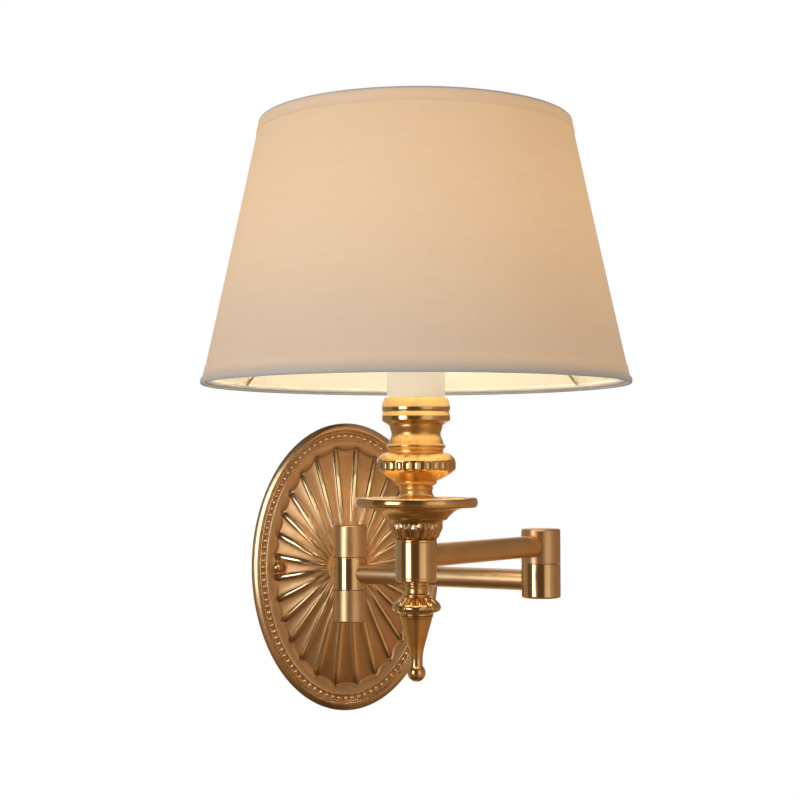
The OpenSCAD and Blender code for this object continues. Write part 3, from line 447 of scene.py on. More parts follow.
def cloth(name, light, dark, glow_stops=None, low_z=0, high_z=1, thread=1500):
    """Woven shade cloth: threads both ways, slubs, and a glow painted on it as emission for the bulb's light shining
    through, strongest at the bulb.
    """
    n = Nodes(name)
    flat = around(n, MIDDLE_R)
    up = cloth_noise(n, flat, thread, (1, 0.06, 1))
    across = cloth_noise(n, flat, thread, (0.05, 1, 1))
    both = n.calc("ADD", up, "Fac", across, "Fac")
    slub = cloth_noise(n, flat, 260, (0.08, 1, 1), 3)
    tone = n.calc("ADD", both, "Value", slub, "Fac")
    mixed = n.spread(tone, "Value", 0, 1, 1.1, 1.9)
    n.link(n.ramp(mixed, "Result", [(0, dark), (1, light)]), "Color", n.surface, "Base Color")
    n.put(n.surface, Roughness=0.85, Sheen_Weight=0.1, Sheen_Roughness=0.5)
    n.link(n.bump(both, "Value", 0.18, 0.0001), "Normal", n.surface, "Normal")
    if glow_stops:
        glow(n, glow_stops, low_z, high_z)
        n.link(n.spread(tone, "Value", 0.975, 1.025, 1.1, 1.9), "Result", n.surface, "Emission Strength")
    return n.material


def bulb_material():
    """Opal glass, lit: a little warmer at the cap."""
    n = Nodes("bulb_opal")
    clouds = n.noise(40, 2)
    n.link(n.ramp(clouds, "Fac", [(0.3, (0.93, 0.88, 0.76)), (0.7, (0.98, 0.94, 0.84))]), "Color", n.surface,
           "Base Color")
    n.put(n.surface, Roughness=0.35)
    height = n.spread(n.height(), "Z", 0, 1, 0.004, 0.06)
    warm = n.ramp(height, "Result", [(0, (0.9, 0.72, 0.52)), (0.5, (1.0, 0.92, 0.78)), (1, (1.0, 0.93, 0.80))])
    n.link(warm, "Color", n.surface, "Emission Color")
    n.link(n.spread(clouds, "Fac", 11.8, 12.8), "Result", n.surface, "Emission Strength")
    return n.material


# Painted glow of the cloth by height, standing for the bulb's light shining through it
BODY_GLOW = [(0, (0.31, 0.140, 0.02)), (0.15, (0.345, 0.155, 0.022)), (0.30, (0.40, 0.19, 0.028)),
             (0.45, (0.45, 0.215, 0.034)), (0.6, (0.485, 0.23, 0.032)), (0.75, (0.48, 0.225, 0.024)),
             (0.9, (0.455, 0.205, 0.012)), (1.0, (0.42, 0.185, 0.008))]
# Painted glow of the tape: it lies double on the edges, where less light comes through it
TAPE_GLOW = [(0, (0.015, 0.008, 0.004)), (0.05, (0.03, 0.014, 0.004)), (0.26, (0.26, 0.120, 0.018)),
             (0.4, (0.32, 0.145, 0.02)), (0.6, (0.36, 0.165, 0.02)), (0.68, (0.40, 0.18, 0.012)),
             (0.93, (0.41, 0.18, 0.01)), (0.97, (0.12, 0.05, 0.008)), (1, (0.01, 0.006, 0.004))]
LINEN = (0.50, 0.495, 0.46), (0.475, 0.47, 0.435)
MATERIALS = {
    "brass_plate": plate_brass(),
    "brass_satin": brass("brass_satin", (0.92, 0.62, 0.33), (0.86, 0.55, 0.28), (0.32, 0.38), cloud=40, grain=1400,
                         grain_depth=0.00003, stretch=(1, 1, 0.05)),
    # The satin parts of the polished brass take deep, a painted lamplight tint: warmer, darker brass for the bulb's
    # light
    "brass_polished": brass("brass_polished", (0.91, 0.63, 0.31), (0.85, 0.56, 0.26), (0.095, 0.135), cloud=60,
                            grain=600, grain_strength=0.03, satin=(0.28, 0.34), deep=(0.86, 0.53, 0.19)),
    "brass_leaf": brass("brass_leaf", (0.88, 0.60, 0.33), (0.74, 0.46, 0.22), (0.17, 0.25), cloud=130, grain=900,
                        bevel=0),
    "brass_plain": brass("brass_plain", (0.80, 0.60, 0.30), (0.72, 0.50, 0.22), (0.22, 0.34)),
    "steel_zinc": brass("steel_zinc", (0.62, 0.62, 0.61), (0.47, 0.48, 0.49), (0.28, 0.42), cloud=120, grain=1200),
    "fibre_washer": plastic("fibre_washer", (0.045, 0.038, 0.033), (0.025, 0.021, 0.018), (0.7, 0.85)),
    "lead_sleeve": plastic("lead_sleeve", (0.72, 0.69, 0.60), (0.62, 0.58, 0.49), (0.38, 0.5)),
    "connector_body": plastic("connector_body", (0.76, 0.75, 0.71), (0.68, 0.67, 0.63), (0.35, 0.45)),
    "candle_sleeve": plastic("candle_sleeve", (0.94, 0.87, 0.78), (0.90, 0.82, 0.70), (0.38, 0.5), cloud=30,
                             subsurface=0.15),
    "holder_body": plastic("holder_body", (0.78, 0.76, 0.71), (0.70, 0.67, 0.62), (0.32, 0.42)),
    "cap_metal": brass("cap_metal", (0.78, 0.78, 0.77), (0.66, 0.66, 0.65), (0.2, 0.32), cloud=150),
    "carrier_wire": brass("carrier_wire", (0.95, 0.87, 0.70), (0.90, 0.80, 0.60), (0.55, 0.62), grain=900),
    "ring_wire": plastic("ring_wire", (0.82, 0.79, 0.70), (0.76, 0.72, 0.62), (0.35, 0.45)),
    "bulb_opal": bulb_material(),
    "shade_cloth": cloth("shade_cloth", *LINEN, BODY_GLOW, 0, SHADE_HIGH.z - SHADE_LOW.z),
    "shade_tape": cloth("shade_tape", *LINEN, TAPE_GLOW, -TAPE_UNDER, TAPE_OVER),
    "shade_inside": cloth("shade_inside", (0.90, 0.84, 0.71), (0.86, 0.80, 0.66)),
}

for node, obj in NODES.items():
    for slot in obj.material_slots:
        slot.material = MATERIALS[slot.material.name]


# --- Column, finial and candle: profiles in mm, from the bottom of each piece ---

# Bore that clears the threaded rod
rod_r = 4.05
turned("sleeve", "column_sleeve", soften([(4, 0), (11.5, 0, 0.2), (12.2, 0.5), (12.2, 1.6, 0.15), (12.0, 1.8, 0.1),
       (12.2, 2.0, 0.15), (12.2, 22.7, 0.15), (12.0, 22.9, 0.1), (12.2, 23.1, 0.15), (12.2, 24.2), (11.5, 24.7, 0.2),
       (4, 24.7)]), "brass_polished", bore=rod_r)
turned("sleeve_ring", "column_ring", soften([(4, 0)] + arc(5.85, 1.15, 1.15, -90, 90, 12) + [(4, 2.3)], 0),
       "brass_polished", bore=rod_r)


def lobes(t, count, depth):
    """Cut of a run of hollow flutes: nothing on the ridges between them, deepest in the middle of each."""
    x = (t * count) % 1 * 2 - 1
    return depth * (1 - x ** 2)


def fade(z, a, b, c, d):
    """0 below a, rising to 1 at b, staying to c and falling to 0 at d."""
    if z <= a or z >= d:
        return 0.0
    up = 1 if z >= b else (z - a) / (b - a)
    down = 1 if z <= c else (d - z) / (d - c)
    s = min(up, down)
    return s * s * (3 - 2 * s)


foot_z, belly_z, bead_z = 1.6, 4.7, 10.8
knob = soften([(4, 0), (9.7, 0, 0.2), (10.0, 0.4, 0.2), (10.0, 1.2, 0.2), (10.2, foot_z, 0.1)] +
              out_rise((10.2, foot_z), (14.5, belly_z), 10)[1:] +
              [(14.5 - 5.7 * (i / 14) ** 1.6, belly_z + (bead_z - belly_z) * i / 14) for i in range(1, 15)] +
              [(7.9, 10.8, 0.1)] + arc(7.5, 11.6, 0.8, -80, 80, 8) + [(7.0, 12.5, 0.2), (6.6, 13.0, 0.3),
              (6.35, 15.2, 0.3), (6.6, 17.0, 0.2), (6.6, 17.3), (4, 17.3)], 0.2)
turned("finial_knob", "finial_bulb", knob, "brass_polished", bore=rod_r, steps=192, pitch=0.5,
       relief=lambda t, r, z: lobes(t, 20, 0.4) * fade(z, 1.7, 2.8, 9.4, 10.7),
       satin_and_lamp_tint=lambda z: 0.6 * fade(z, 12.6, 13.2, 17.0, 17.2))


def widening(x):
    """Share of the spike's widening reached at a share of its length: straight, then a cove, then a cone."""
    if x < 0.1:
        return 0
    if x < 0.4:
        return (x - 0.1) ** 2 * 2.13
    return 1.28 * (x - 0.25) + 0.03 * max(0, (x - 0.9) * 10) ** 2


ball_r, neck_r, spike_l = 5.3, 3.6, 29.4
ball_z = -spike_l - math.sqrt(ball_r ** 2 - neck_r ** 2)
spike = soften([(0.001, ball_z - ball_r)] + arc(0, ball_z, ball_r, -86, 47, 22) +
               [(neck_r + 6.4 * widening(i / 24), -spike_l * (1 - i / 24)) for i in range(1, 24)] +
               [(10.0, -0.2, 0.2), (2.5, 0.0, 0), (2.5, 3.5, 0), (0.001, 3.5)], 0.3)
turned("finial_point", "finial_spike", spike, "brass_polished", steps=96,
       satin_and_lamp_tint=lambda z: fade(z, -27.5, -14, 5, 6) * 0.9)


def leaf_relief(t, r, z):
    """Upright leaves round the cup, with a second row showing between their tips. A leaf has a rib, hollow sides
    and a tip that leans back. Over them is the ground, which comes up to the plain rim."""
    leaves = 16

    def row(shift, tip, wide, depth):
        x = abs(((t * leaves + shift) % 1) * 2 - 1)
        edge = wide * (1 - (max(z, 0) / tip) ** 3.2) if z < tip else -1
        if x > edge:
            return None
        rib = 0.25 * math.exp(-(x / 0.1) ** 2)
        return depth + 0.4 * (x / max(edge, 0.08)) ** 2 - rib + 0.62 * max(0, z - 0.68 * tip)

    ground = 1.5 * (1 - fade(z, 9.2, 11.6, 20, 21))
    for part in (row(0, 8.8, 0.96, 0.2), row(0.5, 10.0, 0.8, 0.45)):
        if part is not None:
            return max(0, min(ground, part))
    return ground


cup = soften([(4, 0), (12.2, 0, 0.1), (12.3, 0.5, 0.1)] + [(12.8 + 5.8 * (i / 12) ** 1.15, 12.1 * i / 12)
             for i in range(1, 13)] + [(4, 12.1)], 0.2)
turned("leaf_sleeve", "leaf_cup", cup, "brass_leaf", bore=rod_r, steps=256, relief=leaf_relief, pitch=0.35, sharp=60)

# Flared underside, and an edge of two small rounds with a flatter one between them
dish_r, round_r, under_h, dish_h = 36.1, 1.4, 6.1, 11.9
under_r = dish_r - round_r - 1
round_at = 35.8 - round_r
dish = soften([(4, 0, 0)] + [(18.6 + (under_r - 18.6) * i / 16, under_h * (1 - (1 - i / 16) ** 3)) for i in range(17)] +
              arc(round_at, under_h + round_r, round_r, -90, -15, 8) + arc(dish_r - 4.0, 9.0, 4.0, -20, 20, 8) +
              arc(round_at, dish_h - round_r, round_r, 15, 90, 8) +
              [(32.3, 11.5, 0.6), (28.5, 9.7, 1.5), (15, 9.5, 0.8), (13.0, dish_h, 0.3), (4, dish_h)], 0.3)
turned("drip_pan", "drip_dish", dish, "brass_polished", bore=rod_r, steps=128,
       satin_and_lamp_tint=lambda z: 0.9 if z < 6.4 else 0.8 if z > 11.3 else 0.0)

vase = soften([(4, 0), (12.0, 0, 0.2), (12.0, 0.3, 0.2)] +
              [(9.5 + 2.5 * (1 - math.sin(math.radians(15 * i))), 0.3 + 3.4 * (1 - math.cos(math.radians(15 * i))))
               for i in range(1, 7)] +
              [(9.3, 4.0, 0.1), (9.8, 4.4, 0.3), (10.05, 5.4, 0.4), (9.8, 6.3, 0.3), (9.6, 6.7, 0.1), (10.8, 7.2, 0.3),
               (11.9, 8.2, 0.4), (12.2, 9.1, 0.2), (12.0, 9.5, 0.1), (12.6, 9.7, 0.1)] +
              [(12.6 + 10.6 * (0.55 * math.sin(math.pi / 2 * i / 14) + 0.45 * i / 14), 9.7 + 7.1 * i / 14)
               for i in range(1, 15)] + [(23.2, 20.1, 0.3)] + rise_out((23.2, 20.1), (16.4, 26.2), 14)[1:] +
              [(15.9, 26.5, 0.2), (15.9, 27.5, 0.1), (4, 27.5)], 0.25)


def vase_relief(t, r, z):
    """Flutes round the belly, and a trace of them on the shoulder."""
    flutes = 34
    return (lobes(t, flutes, 0.6) * fade(z, 15.4, 16.8, 20.0, 21.2) +
            lobes(t, flutes, 0.14) * fade(z, 21.2, 22.4, 24.4, 25.8))


turned("vase_body", "fluted_vase", vase, "brass_polished", bore=rod_r, steps=238, relief=vase_relief, pitch=0.55,
       sharp=60, satin_and_lamp_tint=lambda z: 1 - fade(z, 14.6, 16.0, 21, 23) * 0.9)
waist = soften([(4, 0), (15.9, 0, 0.2), (15.9, 0.5, 0.2), (16.3, 0.8, 0.2), (17.3, 2.2, 0.3), (17.3, 3.0, 0.3),
                (16.4, 3.4, 0.2), (16.2, 3.9, 0.2)] + s_bend((16.0, 4.1), (14.4, 9.6), 10)[1:] +
               s_bend((14.4, 9.6), (15.6, 14.6), 8)[1:] + [(15.6, 14.9, 0.1), (4, 14.9)], 0.3)
turned("column_neck", "column_waist", waist, "brass_polished", bore=rod_r, steps=96,
       satin_and_lamp_tint=lambda z: 1.0 if z > 3.2 else 0.4)
holder = soften([(4, 0), (15.7, 0, 0.1), (16.9, 1.1, 0.5), (18.9, 2.1, 0.4)] + arc(5.5, 3.9, 14, -6, 6, 6) +
                [(18.7, 7.7, 0.4), (19.0, 8.2, 0.2)] + arc(9.5, 9.6, 10, -7, 7, 6) +
                [(19.0, 13.0, 0.3), (18.05, 15.6, 0.2), (17.1, 15.7, 0.1), (17.1, 6.0, 0), (4, 6.0)], 0.3)
turned("candle_holder", "candle_cup", holder, "brass_polished", bore=rod_r, steps=96,
       satin_and_lamp_tint=lambda z: max(0.6 * (1 - fade(z, 1.4, 2.4, 20, 21)), 0.6 * fade(z, 5.6, 6.0, 7.8, 8.4),
                          0.6 * fade(z, 10.8, 11.4, 20, 21)))

lo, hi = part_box("candle_tube")
tube_h = (hi.z - lo.z) / MM
candle_bore = 15.8
candle = soften([(candle_bore, 0), (17.0, 0, 0.3), (17.0, tube_h, 0.5), (candle_bore, tube_h)], 0.3)
turned("candle", "candle_tube", candle, "candle_sleeve", bore=candle_bore, steps=96, pitch=3)

lo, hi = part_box("bulb_glass")
bulb_h = (hi.z - lo.z) / MM
bulb_r, bulb_neck, neck_top, joins_at = 27.5, 13.2, 3, math.radians(40)
centre = bulb_h - bulb_r
shoulder = (bulb_r * math.cos(joins_at), centre - bulb_r * math.sin(joins_at))
bulb = ([(bulb_neck, 0), (bulb_neck, neck_top)] + s_bend((bulb_neck, neck_top), shoulder, 10)[1:] +
        arc(0, centre, bulb_r, -40, 89.9, 28)[1:])
bulb[-1] = (0.001, bulb_h)
turned("bulb", "bulb_glass", bulb, "bulb_opal", steps=64)


# --- Shade ---

# The tape rolls past the cloth's edge by this much
HEM_PAST = 0.0005
edge_z, top_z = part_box("shade_bottom_hem")[0].z + HEM_PAST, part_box("shade_top_hem")[1].z - HEM_PAST
body_name = body_of("shade_fabric")


def cone_r(z):
    """The shade's radius at a height."""
    return EDGE_R + (TOP_R - EDGE_R) * (z - edge_z) / (top_z - edge_z)


def ring_sheet(name, node, slot, section, steps=128, wobble=None, origin=None):
    """A ring of cloth round the shade's axis from a closed section of (distance inside the cone, height) points."""
    count = steps * FINE
    verts, faces = [], []
    for k in range(count):
        turn = 2 * math.pi * k / count
        for inset, z in section:
            r = cone_r(z) - inset - (wobble(turn, z) if wobble else 0)
            verts.append((AXIS.x + r * math.cos(turn), AXIS.y + r * math.sin(turn), z))
    n = len(section)
    for k in range(count):
        a, b = k * n, ((k + 1) % count) * n
        for j in range(n):
            m = (j + 1) % n
            faces.append((a + j, b + j, b + m, a + m))
    obj = make(name, verts, faces, MATERIALS[slot], (AXIS.x, AXIS.y, origin or edge_z), 50)
    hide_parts(node)
    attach(obj, body_name)
    return obj


def skin_section(inset, thick, rows=24):
    """Section of a layer of the shade, from the bottom edge to the top one and back."""
    tall = top_z - edge_z
    outside = [(inset, edge_z + tall * i / rows) for i in range(rows + 1)]
    inside = [(inset + thick, top_z - tall * i / rows) for i in range(rows + 1)]
    return outside + inside


def ease_wobble(turn, z):
    """The cloth pulls in by a hair between its wires."""
    s = (z - edge_z) / (top_z - edge_z)
    return 0.0002 * math.sin(math.pi * s)


fabric = ring_sheet("shade_cover", "shade_fabric", "shade_cloth", skin_section(0.00035, 0.0006), wobble=ease_wobble)
lining = ring_sheet("shade_backing", "shade_lining", "shade_inside", skin_section(0.00135, 0.0005), wobble=ease_wobble)


def hem_section(edge, up, depth, bulge, tall):
    """Tape folded over an edge wire: outside band, a soft roll round the edge and a short turn-in. The band is deep
    from the edge, in metres. The roll bulges and is tall, in mm."""
    middle = (2.1 - bulge) / 2
    wide, high = (middle + bulge) * MM, tall / 2 * MM
    middle *= MM
    start = math.acos(min(1, middle / wide))
    roll = [(middle - wide * math.cos(a), edge + up * (high - HEM_PAST + high * math.sin(a)))
            for a in (start - (start + math.radians(135)) * i / 14 for i in range(15))]
    outside = [(0.0, edge + up * depth), (0.0, edge + up * (depth + tall * MM) / 2)]
    inside = [(0.0021, edge + up * 0.0012), (0.0021, edge + up * 0.003), (0.0018, edge + up * 0.003),
              (0.0018, edge + up * 0.0003), (0.0003, edge + up * 0.0003), (0.0003, edge + up * depth)]
    return outside + roll + inside


bottom_hem = ring_sheet("shade_bottom_tape", "shade_bottom_hem", "shade_tape", hem_section(edge_z, 1, 0.0098, 0.9, 4.6))
top_hem = ring_sheet("shade_top_tape", "shade_top_hem", "shade_tape", hem_section(top_z, -1, 0.0075, 0.2, 2.0),
                     origin=top_z - TAPE_OVER)


# --- Wall plate ---

lo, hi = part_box("backplate")
PLATE_A, PLATE_B = (hi.x - lo.x) / 2 / MM, (hi.z - lo.z) / 2 / MM
PLATE_RISE = (hi.y - lo.y) / MM
FLUTES, BEADS = 28, 104
# Heights above the wall and sizes, in mm: the rim, its upright wall and the roll on it, the step up to the flutes,
# the flutes' depth and their ridges', the metal's thickness, and the air under the edge
RIM, RIM_WALL, ROLL, STEP, DEPTH, RIDGE, METAL, AIR = 6.6, 3.2, 1.3, 0.4, 1.5, 0.8, 1.8, 0.02
# Radius of the flat boss, and how far in from the edge the beads and the flutes' outer ends lie
BOSS, BEAD_IN, FLUTE_IN = 14.0, 8.6, 17.8


def oval(inset):
    return PLATE_A - inset, PLATE_B - 1.09 * inset


def even_turns(inset, shares):
    """Angles of the plate's oval at these shares of its length."""
    a, b = oval(inset)
    t = np.linspace(0, 2 * math.pi, 7201)
    speed = np.hypot(a * np.sin(t), b * np.cos(t))
    length = np.concatenate([[0], np.cumsum((speed[1:] + speed[:-1]) / 2 * np.diff(t))])
    return np.interp(shares * length[-1], length, t)


def dome(s):
    """Height of the ridges' tops at a share of the way out from the boss."""
    return RIM + STEP + (PLATE_RISE - RIM - STEP) * (1 - s * s)


def plate():
    """Rows of points from the wall edge over the front to the boss, and back along the inside, then the beads."""
    edges = even_turns(FLUTE_IN, (np.arange(FLUTES) + 0.5) / FLUTES)
    edges = np.append(edges, edges[0] + 2 * math.pi)
    half = [0, 0.25, 0.5, 0.75, 1.0]
    across = 7
    # Positions across one flute: the right half of a ridge, the hollow, the left half of the next ridge
    marks = ([("ridge", x, 0) for x in half] + [("hollow", i / across, None) for i in range(1, across)] +
             [("ridge", 1 - x, 1) for x in half[:-1]])
    count = FLUTES * len(marks)
    # Each point carries a polish share and a hollow share; the hollow share is painted shade, darkening the brass
    rows, polish_rows, painted_shade_rows = [], [], []

    def level(inset, height, polish, hollow=0.0):
        """A plain row at one inset from the edge and one height."""
        a, b = oval(inset)
        turns = [place(f, *mark, 1.0)[0] for f in range(FLUTES) for mark in marks]
        rows.append([(a * math.cos(t), -height, b * math.sin(t)) for t in turns])
        polish_rows.append([polish] * count)
        painted_shade_rows.append([hollow] * count)

    def place(f, kind, x, side, s):
        """Angle of a mark, where it lies across its flute from -1 to 1, and the ridge's half width there."""
        wide = 0.085 + 0.10 * (1 - s)
        if kind == "ridge":
            u = wide * x if side == 0 else 1 - wide * x
        else:
            u = wide + (1 - 2 * wide) * x
        return edges[f] + (edges[f + 1] - edges[f]) * u, (u - 0.5) * 2, wide

    # Rim: an upright wall, a roll and a swelling slope up to the bead channel's edge, with a little painted shade
    for inset, height in ((0, AIR), (0, RIM_WALL)):
        level(inset, height, 0.6, 0.2)
    for i in range(1, 7):
        a = math.radians(54) * i / 6
        level(ROLL * (1 - math.cos(a)), RIM_WALL + ROLL * math.sin(a), 0.6, 0.1)
    for i in range(1, 11):
        u = i / 10
        level(0.54 + 3.96 * u, 4.25 + 3.96 * (0.74 - 0.26 * u) * u, 0.7 - 0.2 * u, 0.15)
    level(4.8, RIM - 0.6, 0.3, 0.3)
    level(5.1, RIM, 0.6)
    # Groove, inner bead of the rim, bead channel, its inner lip and the plain band. The last number of each row is its
    # painted shade, darkest in the groove and the channel.
    for inset, height, polish, hollow in (
            (5.4, RIM - 0.15, 0.4, 0.1), (5.6, RIM - 0.6, 0.3, 0.3), (5.9, RIM - 0.6, 0.3, 0.3),
            (6.1, RIM - 0.15, 0.6, 0), (6.3, RIM, 0.8, 0), (6.6, RIM, 0.8, 0), (6.8, RIM - 0.2, 0.5, 0.1),
            (7.0, RIM - 0.9, 0.2, 0.3), (7.2, RIM - 1.0, 0.1, 0.35), (10.0, RIM - 1.0, 0.1, 0.35),
            (10.2, RIM - 0.9, 0.2, 0.3), (10.5, RIM - 0.2, 0.5, 0.1), (10.7, RIM, 0.8, 0), (11.1, RIM, 0.8, 0),
            (11.3, RIM - 0.12, 0.2, 0.1), (11.6, RIM - 0.2, 0.1, 0), (14.0, RIM - 0.2, 0.1, 0)):
        level(inset, height, polish, hollow)

    def flute_row(s, wall):
        """One row of the fluted field, at a share s of the way from the boss to the flutes' ends. wall slides from
        the band (0) down to the hollow's floor (1)."""
        ring, pol, painted_shade_row = [], [], []
        for f in range(FLUTES):
            for mark in marks:
                t, u, wide = place(f, *mark, s)
                # The hollows' outer ends reach in further than the ridges'
                inset = FLUTE_IN - 1.4 + 2.6 * (1 - u * u)
                a1, b1 = oval(inset)
                a = BOSS + (a1 - BOSS) * s
                b = BOSS + (b1 - BOSS) * s
                top = dome(s * (PLATE_A - inset) / (PLATE_A - FLUTE_IN))
                if mark[0] == "ridge":
                    across_ridge = (1 - abs(u)) / (2 * wide)
                    round_ = max(0, 1 - across_ridge ** 3) ** (1 / 3)
                    end = max(0, (s - 0.86) / 0.14)
                    height = top - (1 - round_) * RIDGE - 0.7 * end * end
                    # Painted shade darkens the ridge's outer end, where it dips to the band
                    polish, hollow = 1.0, 0.9 * end
                else:
                    v = u / (1 - 2 * wide)
                    cut = DEPTH * min(1, 2 * s)
                    height = top - RIDGE - (cut - RIDGE) * (1 - v * v) ** 0.7
                    # Painted shade over the hollow, darker next to the ridges and at its outer end
                    polish, hollow = 0.0, 0.30 + 0.35 * (abs(v) ** 8)
                    if s > 0.93:
                        hollow = max(hollow, 0.5 * (s - 0.93) / 0.07)
                # Rows of the step down from the band: less polished, with painted shade on the step
                if wall < 1:
                    height = (RIM - 0.2) * (1 - wall) + height * wall
                    polish *= 0.3
                    hollow = max(hollow, 0.3 * wall)
                height = min(height, PLATE_RISE)
                ring.append((a * math.cos(t), -height, b * math.sin(t)))
                pol.append(polish)
                painted_shade_row.append(hollow)
        rows.append(ring)
        polish_rows.append(pol)
        painted_shade_rows.append(painted_shade_row)

    flute_row(1.012, 0.0)
    flute_row(1.006, 0.35)
    flute_row(1.0, 0.85)
    for s in np.concatenate([[0.995, 0.985, 0.97], np.linspace(0.95, 0.0, 34)]):
        flute_row(float(s), 1.0)
    # Boss: flat, then its bore through the metal
    turns = [math.atan2(p[2], p[0]) for p in rows[-1]]
    for r in (BOSS - 0.3, 9.0, 5.2):
        rows.append([(r * math.cos(t), -PLATE_RISE, r * math.sin(t)) for t in turns])
        polish_rows.append([0.1] * count)
        painted_shade_rows.append([0.0] * count)
    # The bore's inside gets painted shade
    rows.append([(p[0], -PLATE_RISE + METAL, p[2]) for p in rows[-1]])
    polish_rows.append([0.1] * count)
    painted_shade_rows.append([0.5] * count)
    # Inside of the pressing, back to the wall edge, all with painted shade
    fa, fb = oval(FLUTE_IN)
    for s in (0.0, 0.33, 0.66, 1.0):
        a, b = BOSS + (fa - BOSS) * s, BOSS + (fb - BOSS) * s
        height = dome(s) - (DEPTH if s > 0 else 0) - METAL
        turns = [place(f, *mark, s)[0] for f in range(FLUTES) for mark in marks]
        rows.append([(a * math.cos(t), -height, b * math.sin(t)) for t in turns])
        polish_rows.append([0.0] * count)
        painted_shade_rows.append([0.4] * count)
    for inset, height in ((10.8, 3.6), (3.4, 2.9), (2.4, AIR), (0, AIR)):
        level(inset, height, 0.0, 0.3)
    verts = [(x * MM, y * MM, z * MM) for ring in rows for x, y, z in ring]
    faces = []
    for j in range(len(rows) - 1):
        for k in range(count):
            n = (k + 1) % count
            faces.append((j * count + k, (j + 1) * count + k, (j + 1) * count + n, j * count + n))
    polish = [v for row in polish_rows for v in row]
    hollow = [v for row in painted_shade_rows for v in row]
    # Beads, each a dome set in the channel, with a ring of painted shade at its foot
    a, b = oval(BEAD_IN)
    floor_y, bead_r = RIM - 1.3, 1.65
    ring_n, rows_n = 8 * FINE, 1 + 3 * FINE
    for turn in even_turns(BEAD_IN, np.arange(BEADS) / BEADS):
        cx, cz = a * math.cos(turn), b * math.sin(turn)
        base = len(verts)
        for j in range(rows_n):
            up = math.pi / 2 * (j - 1) / (rows_n - 1)
            wide, rise = (2.1, 0.32) if j == 0 else (bead_r * math.cos(up), 0.2 + 1.55 * math.sin(up))
            for k in range(ring_n):
                w = 2 * math.pi * k / ring_n
                verts.append(((cx + wide * math.cos(w)) * MM, -(floor_y + rise) * MM, (cz + wide * math.sin(w)) * MM))
                polish.append(1.0 if j > 1 else 0.0)
                hollow.append(0.0 if j > 1 else 1.0)
        tip = len(verts)
        verts.append((cx * MM, -(floor_y + 1.75) * MM, cz * MM))
        polish.append(1.0)
        hollow.append(0.0)
        for j in range(rows_n - 1):
            low_ring, high_ring = base + j * ring_n, base + (j + 1) * ring_n
            for k in range(ring_n):
                n = (k + 1) % ring_n
                faces.append((low_ring + k, high_ring + k, high_ring + n, low_ring + n))
        last = base + (rows_n - 1) * ring_n
        for k in range(ring_n):
            faces.append((last + k, tip, last + (k + 1) % ring_n))
    obj = make("plate", verts, faces, MATERIALS["brass_plate"], (0, 0, 0), 65)
    # The polish share and the hollow share, which is painted shade, go to the material as point attributes
    for key, values in (("polish", polish), ("hollow", hollow)):
        layer = obj.data.attributes.new(key, "FLOAT", "POINT")
        layer.data.foreach_set("value", values)
    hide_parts("backplate")
    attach(obj, body_of("backplate"))


plate()


# --- Studio ---

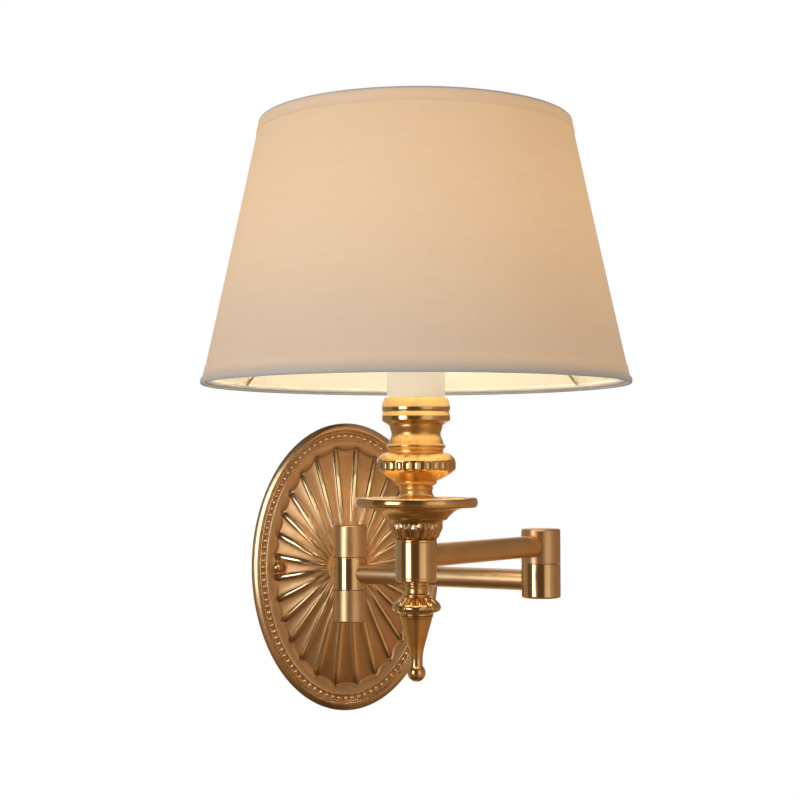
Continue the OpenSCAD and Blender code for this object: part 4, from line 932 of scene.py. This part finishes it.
def studio_world():
    """White to the camera, an even soft light, and a room of its own for what metal and glass see: white behind the
    object, grey at its sides, dark in front of it, and warm all round below the horizon."""
    world = bpy.data.worlds.new("studio")
    scene.world = world
    world.use_nodes = True
    w = Tree(world.node_tree)
    output = w.add("ShaderNodeOutputWorld")
    path = w.add("ShaderNodeLightPath")
    white = w.add("ShaderNodeBackground")
    w.put(white, Color=(1, 1, 1, 1))
    ambient = w.add("ShaderNodeBackground")
    w.put(ambient, Color=(0.97, 0.98, 1.0, 1), Strength=0.45)
    split = w.add("ShaderNodeSeparateXYZ")
    w.link(w.add("ShaderNodeTexCoord"), "Generated", split, 0)
    # Bearings in degrees, 0 straight in front of the wall
    front = w.calc("MULTIPLY", split, "Y", -1)
    angle = w.calc("ARCTAN2", split, "X", front, "Value")
    share = w.spread(angle, "Value", 0, 1, -math.pi, math.pi)
    stops = [(-180, (1, 1, 1)), (-166, (0.95, 0.95, 0.95)), (-156, (0.26, 0.235, 0.20)), (-100, (0.26, 0.23, 0.19)),
             (-92, (0.10, 0.075, 0.055)), (-73, (0.11, 0.08, 0.06)), (-36, (0.24, 0.175, 0.125)),
             (-29, (0.09, 0.06, 0.038)), (2, (0.09, 0.06, 0.038)), (11, (0.30, 0.225, 0.165)),
             (24, (0.40, 0.315, 0.25)), (41, (0.42, 0.35, 0.295)), (58, (0.37, 0.29, 0.23)),
             (78, (0.29, 0.19, 0.12)), (156, (0.27, 0.18, 0.115)), (166, (0.95, 0.95, 0.95)), (180, (1, 1, 1))]
    bearing = w.ramp(share, "Result", [((at + 180) / 360, level) for at, level in stops])
    # 0 is straight down, 0.5 the horizon and 1 straight up
    room_strength = 1.3
    height = w.spread(split, "Z", 0, 1, -1, 1)
    levels = [(0, (0.34, 0.29, 0.22)), (0.12, (0.40, 0.34, 0.26)), (0.26, (0.92, 0.69, 0.44)), (0.44, (1, 1, 1)),
              (0.56, (1, 1, 1)), (0.75, (0.75, 0.75, 0.75)), (1.0, (0.6, 0.6, 0.6))]
    tilt = w.ramp(height, "Result", [(at, [part / room_strength for part in level]) for at, level in levels])
    below = w.ramp(height, "Result", [
        (0, (0.02, 0.012, 0.005)), (0.14, (0.03, 0.018, 0.008)), (0.26, (0.10, 0.056, 0.022)),
        (0.34, (0.06, 0.034, 0.013)), (0.42, (0.01, 0.006, 0.002)), (0.5, (0, 0, 0))])
    both = w.mix_colours(1, None, bearing, "Color", tilt, "Color", "MULTIPLY")
    total = w.mix_colours(1, None, both, MIXED, below, "Color", "ADD")
    room = w.add("ShaderNodeBackground")
    w.link(total, MIXED, room, "Color")
    w.put(room, Strength=room_strength)
    mirrored = w.calc("MAXIMUM", path, "Is Glossy Ray", path, "Is Transmission Ray")
    unseen = w.add("ShaderNodeMixShader")
    w.link(mirrored, "Value", unseen, "Fac")
    w.link(ambient, "Background", unseen, 1)
    w.link(room, "Background", unseen, 2)
    everything = w.add("ShaderNodeMixShader")
    w.link(path, "Is Camera Ray", everything, "Fac")
    w.link(unseen, "Shader", everything, 1)
    w.link(white, "Background", everything, 2)
    w.link(everything, "Shader", output, "Surface")


def panel(name, turn, distance, height, wide, tall, power, colour):
    """A soft box at a bearing round the column, 0 straight in front of the wall, aimed at the column."""
    data = bpy.data.lights.new(name, "AREA")
    data.shape = "RECTANGLE"
    data.size, data.size_y = wide, tall
    data.energy = power
    data.color = colour
    obj = bpy.data.objects.new(name, data)
    a = math.radians(turn)
    obj.location = AXIS + Vector((distance * math.sin(a), -distance * math.cos(a), height))
    target = AXIS + Vector((0, 0, 0.05))
    obj.rotation_euler = (target - obj.location).to_track_quat("-Z", "Y").to_euler()
    scene.collection.objects.link(obj)
    obj.visible_camera = False


def pale_floor():
    """A pale floor. Only to rays from the camera, metal or glass does it glow, so it adds no light to the object."""
    n = Nodes("floor")
    clouds = n.noise(3, 3)
    n.link(n.ramp(clouds, "Fac", [(0.3, (0.86, 0.86, 0.85)), (0.7, (0.89, 0.89, 0.88))]), "Color", n.surface,
           "Base Color")
    n.link(n.spread(clouds, "Fac", 0.7, 0.8), "Result", n.surface, "Roughness")
    n.put(n.surface, Emission_Color=(1, 1, 1, 1))
    path = n.add("ShaderNodeLightPath")
    mirrored = n.calc("MAXIMUM", path, "Is Glossy Ray", path, "Is Transmission Ray")
    seen = n.calc("MAXIMUM", path, "Is Camera Ray", mirrored, "Value")
    n.link(n.calc("MULTIPLY", seen, "Value", 0.35), "Value", n.surface, "Emission Strength")
    half, back, ground = 2.4, 0.2, -1.25
    floor = make("floor", [(-half, -half - back, ground), (half, -half - back, ground), (half, half - back, ground),
                           (-half, half - back, ground)], [(0, 1, 2, 3)], n.material)
    # Metal sees the room of the world below it, which is darker and warmer
    floor.visible_glossy = False


studio_world()
DAYLIGHT, LAMPLIGHT = (0.88, 0.93, 1.0), (1.0, 0.95, 0.89)
panel("key", turn=-51.5, distance=1.6, height=0.22, wide=0.62, tall=0.9, power=5.4, colour=DAYLIGHT)
panel("key_edge", turn=-51.5, distance=1.65, height=0.22, wide=0.88, tall=1.15, power=3.2, colour=DAYLIGHT)
panel("fill", turn=31, distance=1.9, height=0.25, wide=1.2, tall=1.4, power=1.6, colour=LAMPLIGHT)
pale_floor()

# --- Camera ---

camera = bpy.data.objects.new("camera", bpy.data.cameras.new("camera"))
scene.collection.objects.link(camera)
scene.camera = camera
camera.data.lens = 69.19
camera.data.sensor_width = 36
camera.data.clip_start = 0.05
yaw, pitch, roll = math.radians(-6.473), math.radians(2.588), math.radians(-0.112)
forward = Vector((-math.sin(yaw) * math.cos(pitch), math.cos(yaw) * math.cos(pitch), math.sin(pitch)))
right = Vector((math.cos(yaw), math.sin(yaw), 0))
up = right.cross(forward)
side = right * math.cos(roll) + up * math.sin(roll)
over = up * math.cos(roll) - right * math.sin(roll)
camera.matrix_world = Matrix.Translation((-0.0883, -1.1393, 0.0712)) @ Matrix(
    (side, over, -forward)).transposed().to_4x4()

scene.view_settings.view_transform = "Standard"
